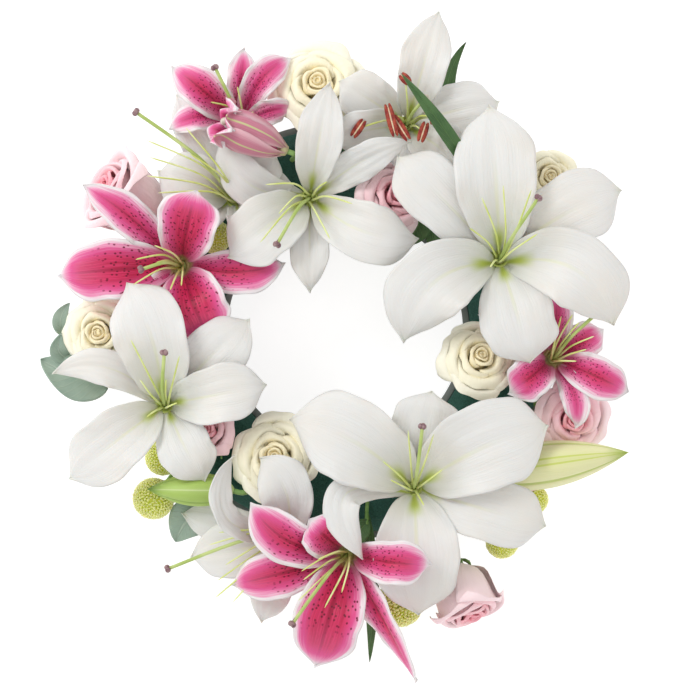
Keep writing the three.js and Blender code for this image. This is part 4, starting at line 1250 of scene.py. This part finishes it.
# %% Build the half-open bud
def build_opening_lily():
    bm = petal_bed()
    radius, length = OPENING["radius"], OPENING["length"]
    whole = axis_matrix(OPENING["base"], OPENING["heading"], OPENING["lean"])
    for i in range(6):
        inner = i % 2 == 0
        size, curl, top, span = (0.9, 4, 0.98, 44) if inner else (1, 6, 1.03, 40)
        profile = [
            (2.4, 0), (radius * 0.8 * size, length * 0.3), (radius * size, length * 0.66),
            (radius * 0.84 * size, length * 0.93), (radius * 0.82 * size + curl, length * top)]
        surface = wrapped_petal(profile, 60 * i, span, crown=10, tuck=0.8)
        add_petal(bm, surface, lambda s: 12, length, rows=34, columns=18)
    add_bead(bm, Vector((3, 1, 0.93 * length)), (0.2, 0.1, 1), (3, 2.6, 2.4), finish=2)
    foot = Matrix.Translation((0, 0, 2.5))
    bmesh.ops.create_cone(
        bm, cap_ends=True, segments=20, radius1=3.4, radius2=5, depth=5, matrix=foot)
    bmesh.ops.transform(bm, matrix=whole, verts=bm.verts)
    name, finishes = "pink_lily_bud_petals", [opening_finish(), PINK_PETAL, PALE_STIGMA]
    plant(bm, name, "pink_bud_petal", name, finishes, thickness=0.9, under=True)
    bm = bmesh.new()
    axis = (whole.to_3x3() @ Vector((0, 0, 1))).normalized()
    path = stem_path(Vector(OPENING["base"]) - 0.35 * axis, axis, STEM_DEPTH)
    add_stem(bm, path, [STEM_RADIUS] * len(path), sides=10, finish=0)
    close_up(bm)
    plant(bm, "pink_lily_bud_stem", "stem", "pink_lily_bud_stem", [STEM])


build_opening_lily()
print("buds built:", len(BUDS) + 1)

# %% [markdown]
# ## Foam and tray
# Both are a profile spun once round the ring's axis. A torus or a cut tube would need more
# steps to get the rim. The profile's corners are rounded first, and its face is taken away, so
# that only the outline is spun. The foam is crumbly, so its finish has fine pits; where stems
# go in, the flowers hide it. The tray is smooth dull plastic.

# %% Foam and tray
SPIN_STEPS = 128


def spin_ring(name, slot, profile, finish, rounding):
    bm = bmesh.new()
    bmesh.ops.create_circle(bm, segments=len(profile), radius=1, cap_ends=True)
    for vert, (radius, height) in zip(list(bm.verts), profile):
        vert.co = Vector((radius, 0, height))
    bmesh.ops.bevel(
        bm, geom=list(bm.verts), offset=rounding, segments=3, profile=0.5, affect="VERTICES",
        material=-1)
    bmesh.ops.delete(bm, geom=list(bm.faces), context="FACES_ONLY")
    bmesh.ops.spin(
        bm, geom=list(bm.edges) + list(bm.verts), cent=(0, 0, 0), axis=(0, 0, 1), angle=math.tau,
        steps=SPIN_STEPS, use_merge=True)
    bmesh.ops.remove_doubles(bm, verts=bm.verts, dist=0.01)
    close_up(bm)
    return plant(bm, name, slot, name, [finish])


def foam_finish():
    finish = Finish("wet_foam", 0.95)
    pits = finish.noise(finish.place(), 900, 3)
    finish.colour(finish.mix(pits, rgb(0.012, 0.055, 0.04), rgb(0.04, 0.13, 0.1)))
    finish.bump(pits, 0.0012)
    return finish.material


FOAM_PROFILE = [(92.3, 2.3), (149.7, 2.3), (149.7, 32), (139.7, 42), (102.3, 42), (92.3, 32)]
TRAY_PROFILE = [
    (90, 0), (152, 0), (152, 21), (155, 24), (150, 24), (150, 2),
    (92, 2), (92, 24), (87, 24), (90, 21)]
TRAY = plain_finish(
    "tray_plastic", rgb(0.16, 0.18, 0.17), rgb(0.21, 0.23, 0.22), 0.45, scale=20, depth=0.0001)
spin_ring("foam", "foam", FOAM_PROFILE, foam_finish(), rounding=1.5)
spin_ring("tray", "tray", TRAY_PROFILE, TRAY, rounding=0.3)
print("ring:", 2 * max(radius for radius, height in TRAY_PROFILE), "mm across")
